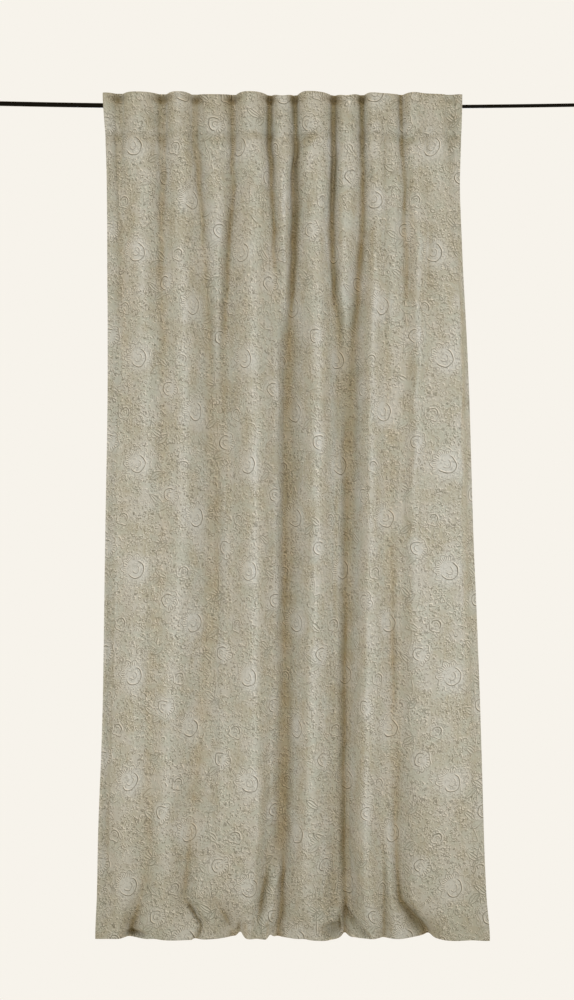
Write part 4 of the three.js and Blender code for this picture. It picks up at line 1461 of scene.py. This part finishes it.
# %% The two tubes
wide_lacquer = black_lacquer("black_lacquer_wide", 0.0)
slim_lacquer = black_lacquer("black_lacquer_slim", 1.0)
wide_profile = tube_profile(-HALF_ROD, WIDE_TUBE_END, ROD_RADIUS_WIDE, True)
slim_profile = tube_profile(SLIM_START, HALF_ROD, ROD_RADIUS_SLIM, False)
wide_tube = turned_tube("lacquered_wide_tube", wide_profile, wide_lacquer)
slim_tube = turned_tube("lacquered_slim_tube", slim_profile, slim_lacquer)
for tube, node in ((wide_tube, "rod_wide_tube"), (slim_tube, "rod_slim_tube")):
    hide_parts(node)
    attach(tube, "root")
print("rod radii:", ROD_RADIUS_WIDE, ROD_RADIUS_SLIM, "mm")

# %% [markdown]
# ## Light and air
#
# The picture is softly lit against a plain off-white. Two broad cool lamps stand to the left and right,
# level with the cloth's middle, so that they pass over the fronts of the folds and leave the grooves
# dark. A weak lamp in front lifts the cloth between them, one behind lights the back as the sides are
# lit, and the warm air fills the grooves. The camera itself sees plain off-white behind the curtain,
# which a ray test in the world keeps apart from the light of the air. A picture of a room around the
# scene would light it too, but nothing of it could be set alone.

# %% The studio
BACKDROP = (0.930, 0.896, 0.831, 1)
AIR_COLOUR = (1.33, 1.0, 0.48, 1)
AIR_STRENGTH = 0.50
LAMP_TINT = (0.865, 1.0, 1.24)
LAMP_HEIGHT = -1.15
LAMP_AWAY = 4.2
LAMP_TURN = 52  # degrees to each side of the way to the camera
LAMP_SIZE = 2.1
LAMP_POWER = {"left_lamp": 74, "right_lamp": 82}
FRONT_LAMP_PLACE = (0.1, -2.2, -1.05)
FRONT_LAMP_SIZE = 0.8
FRONT_LAMP_POWER = 6.5
BACK_LAMP_PLACE = (0.0, 3.6, -1.15)
BACK_LAMP_POWER = 78

world = bpy.data.worlds.new("studio")
world.use_nodes = True
air = world.node_tree.nodes["Background"]
to_camera = world.node_tree.nodes.new("ShaderNodeLightPath").outputs["Is Camera Ray"]


def by_ray(kind, seen, unseen, into):
    """Feeds a socket of the world with one value for the camera's rays and another for all others."""
    choice = world.node_tree.nodes.new("ShaderNodeMix")
    choice.data_type = kind
    slots = [socket for socket in choice.inputs if socket.enabled]
    world.node_tree.links.new(to_camera, slots[0])
    slots[1].default_value = unseen
    slots[2].default_value = seen
    world.node_tree.links.new(next(socket for socket in choice.outputs if socket.enabled), into)


by_ray("RGBA", BACKDROP, AIR_COLOUR, air.inputs["Color"])
by_ray("FLOAT", 1.0, AIR_STRENGTH, air.inputs["Strength"])
bpy.context.scene.world = world
bpy.context.scene.view_settings.view_transform = "Standard"


def soft_lamp(name, place, turn, size, power):
    """A square lamp that faces the curtain level, turned about the upright."""
    lamp_data = bpy.data.lights.new(name, "AREA")
    lamp_data.size = size
    lamp_data.energy = power
    lamp_data.color = LAMP_TINT
    lamp = bpy.data.objects.new(name, lamp_data)
    lamp.location = place
    lamp.rotation_euler = (np.pi / 2, 0, turn)
    lamp.visible_camera = False
    bpy.context.scene.collection.objects.link(lamp)
    print(name, "at", np.round(place, 2))


for side, lamp_name in ((-1, "left_lamp"), (1, "right_lamp")):
    turn = side * np.radians(LAMP_TURN)
    place = (LAMP_AWAY * np.sin(turn), -LAMP_AWAY * np.cos(turn), LAMP_HEIGHT)
    soft_lamp(lamp_name, place, turn, LAMP_SIZE, LAMP_POWER[lamp_name])
soft_lamp("front_lamp", FRONT_LAMP_PLACE, 0, FRONT_LAMP_SIZE, FRONT_LAMP_POWER)
soft_lamp("back_lamp", BACK_LAMP_PLACE, np.pi, LAMP_SIZE, BACK_LAMP_POWER)

# %% [markdown]
# ## The floor
#
# A pale round floor lies below the curtain, just under what the camera takes in, so it only shows from
# other sides. Its edge fades out, which a hard disc's wouldn't, by an alpha that falls with the distance
# from its middle.

# %% A pale round floor
FLOOR_Z = -2.9
FLOOR_RADIUS = 1.1
FLOOR_MIDDLE_Y = -0.3
FLOOR_TONE = (0.80, 0.78, 0.74, 1)
FLOOR_WORN = (0.76, 0.74, 0.70, 1)
FLOOR_SIDES = 96
FLOOR_FADES = 0.5  # of its radius, where its edge begins to fade
MOTTLE_PITCH = 6.0
MOTTLE_PLACES = (0.4, 0.65)

floor_finish = Finish("pale_floor", roughness=0.8, specular_ior_level=0.2)
floor_place = floor_finish.node("ShaderNodeTexCoord", None, (), "Object")
floor_x = floor_finish.node("ShaderNodeSeparateXYZ", None, (floor_place,), "X")
floor_y = floor_finish.node("ShaderNodeSeparateXYZ", None, (floor_place,), "Y")
mottle = floor_finish.noise(floor_place, MOTTLE_PITCH, 3.0).step(*MOTTLE_PLACES)
floor_alpha = floor_finish.length(floor_x, floor_y).step(FLOOR_RADIUS, FLOOR_RADIUS * FLOOR_FADES)
floor_colour = floor_finish.dye(mottle, FLOOR_TONE, FLOOR_WORN)
floor_look = floor_finish.show(base_color=floor_colour, alpha=floor_alpha)
floor_angles = np.linspace(0, 2 * np.pi, FLOOR_SIDES, endpoint=False)
floor_ring = np.stack([np.cos(floor_angles), np.sin(floor_angles), 0 * floor_angles], 1) * FLOOR_RADIUS / MM
floor = mesh_object("pale_floor", floor_ring, [range(FLOOR_SIDES)], [floor_look])
floor.location = (0, FLOOR_MIDDLE_Y, FLOOR_Z)
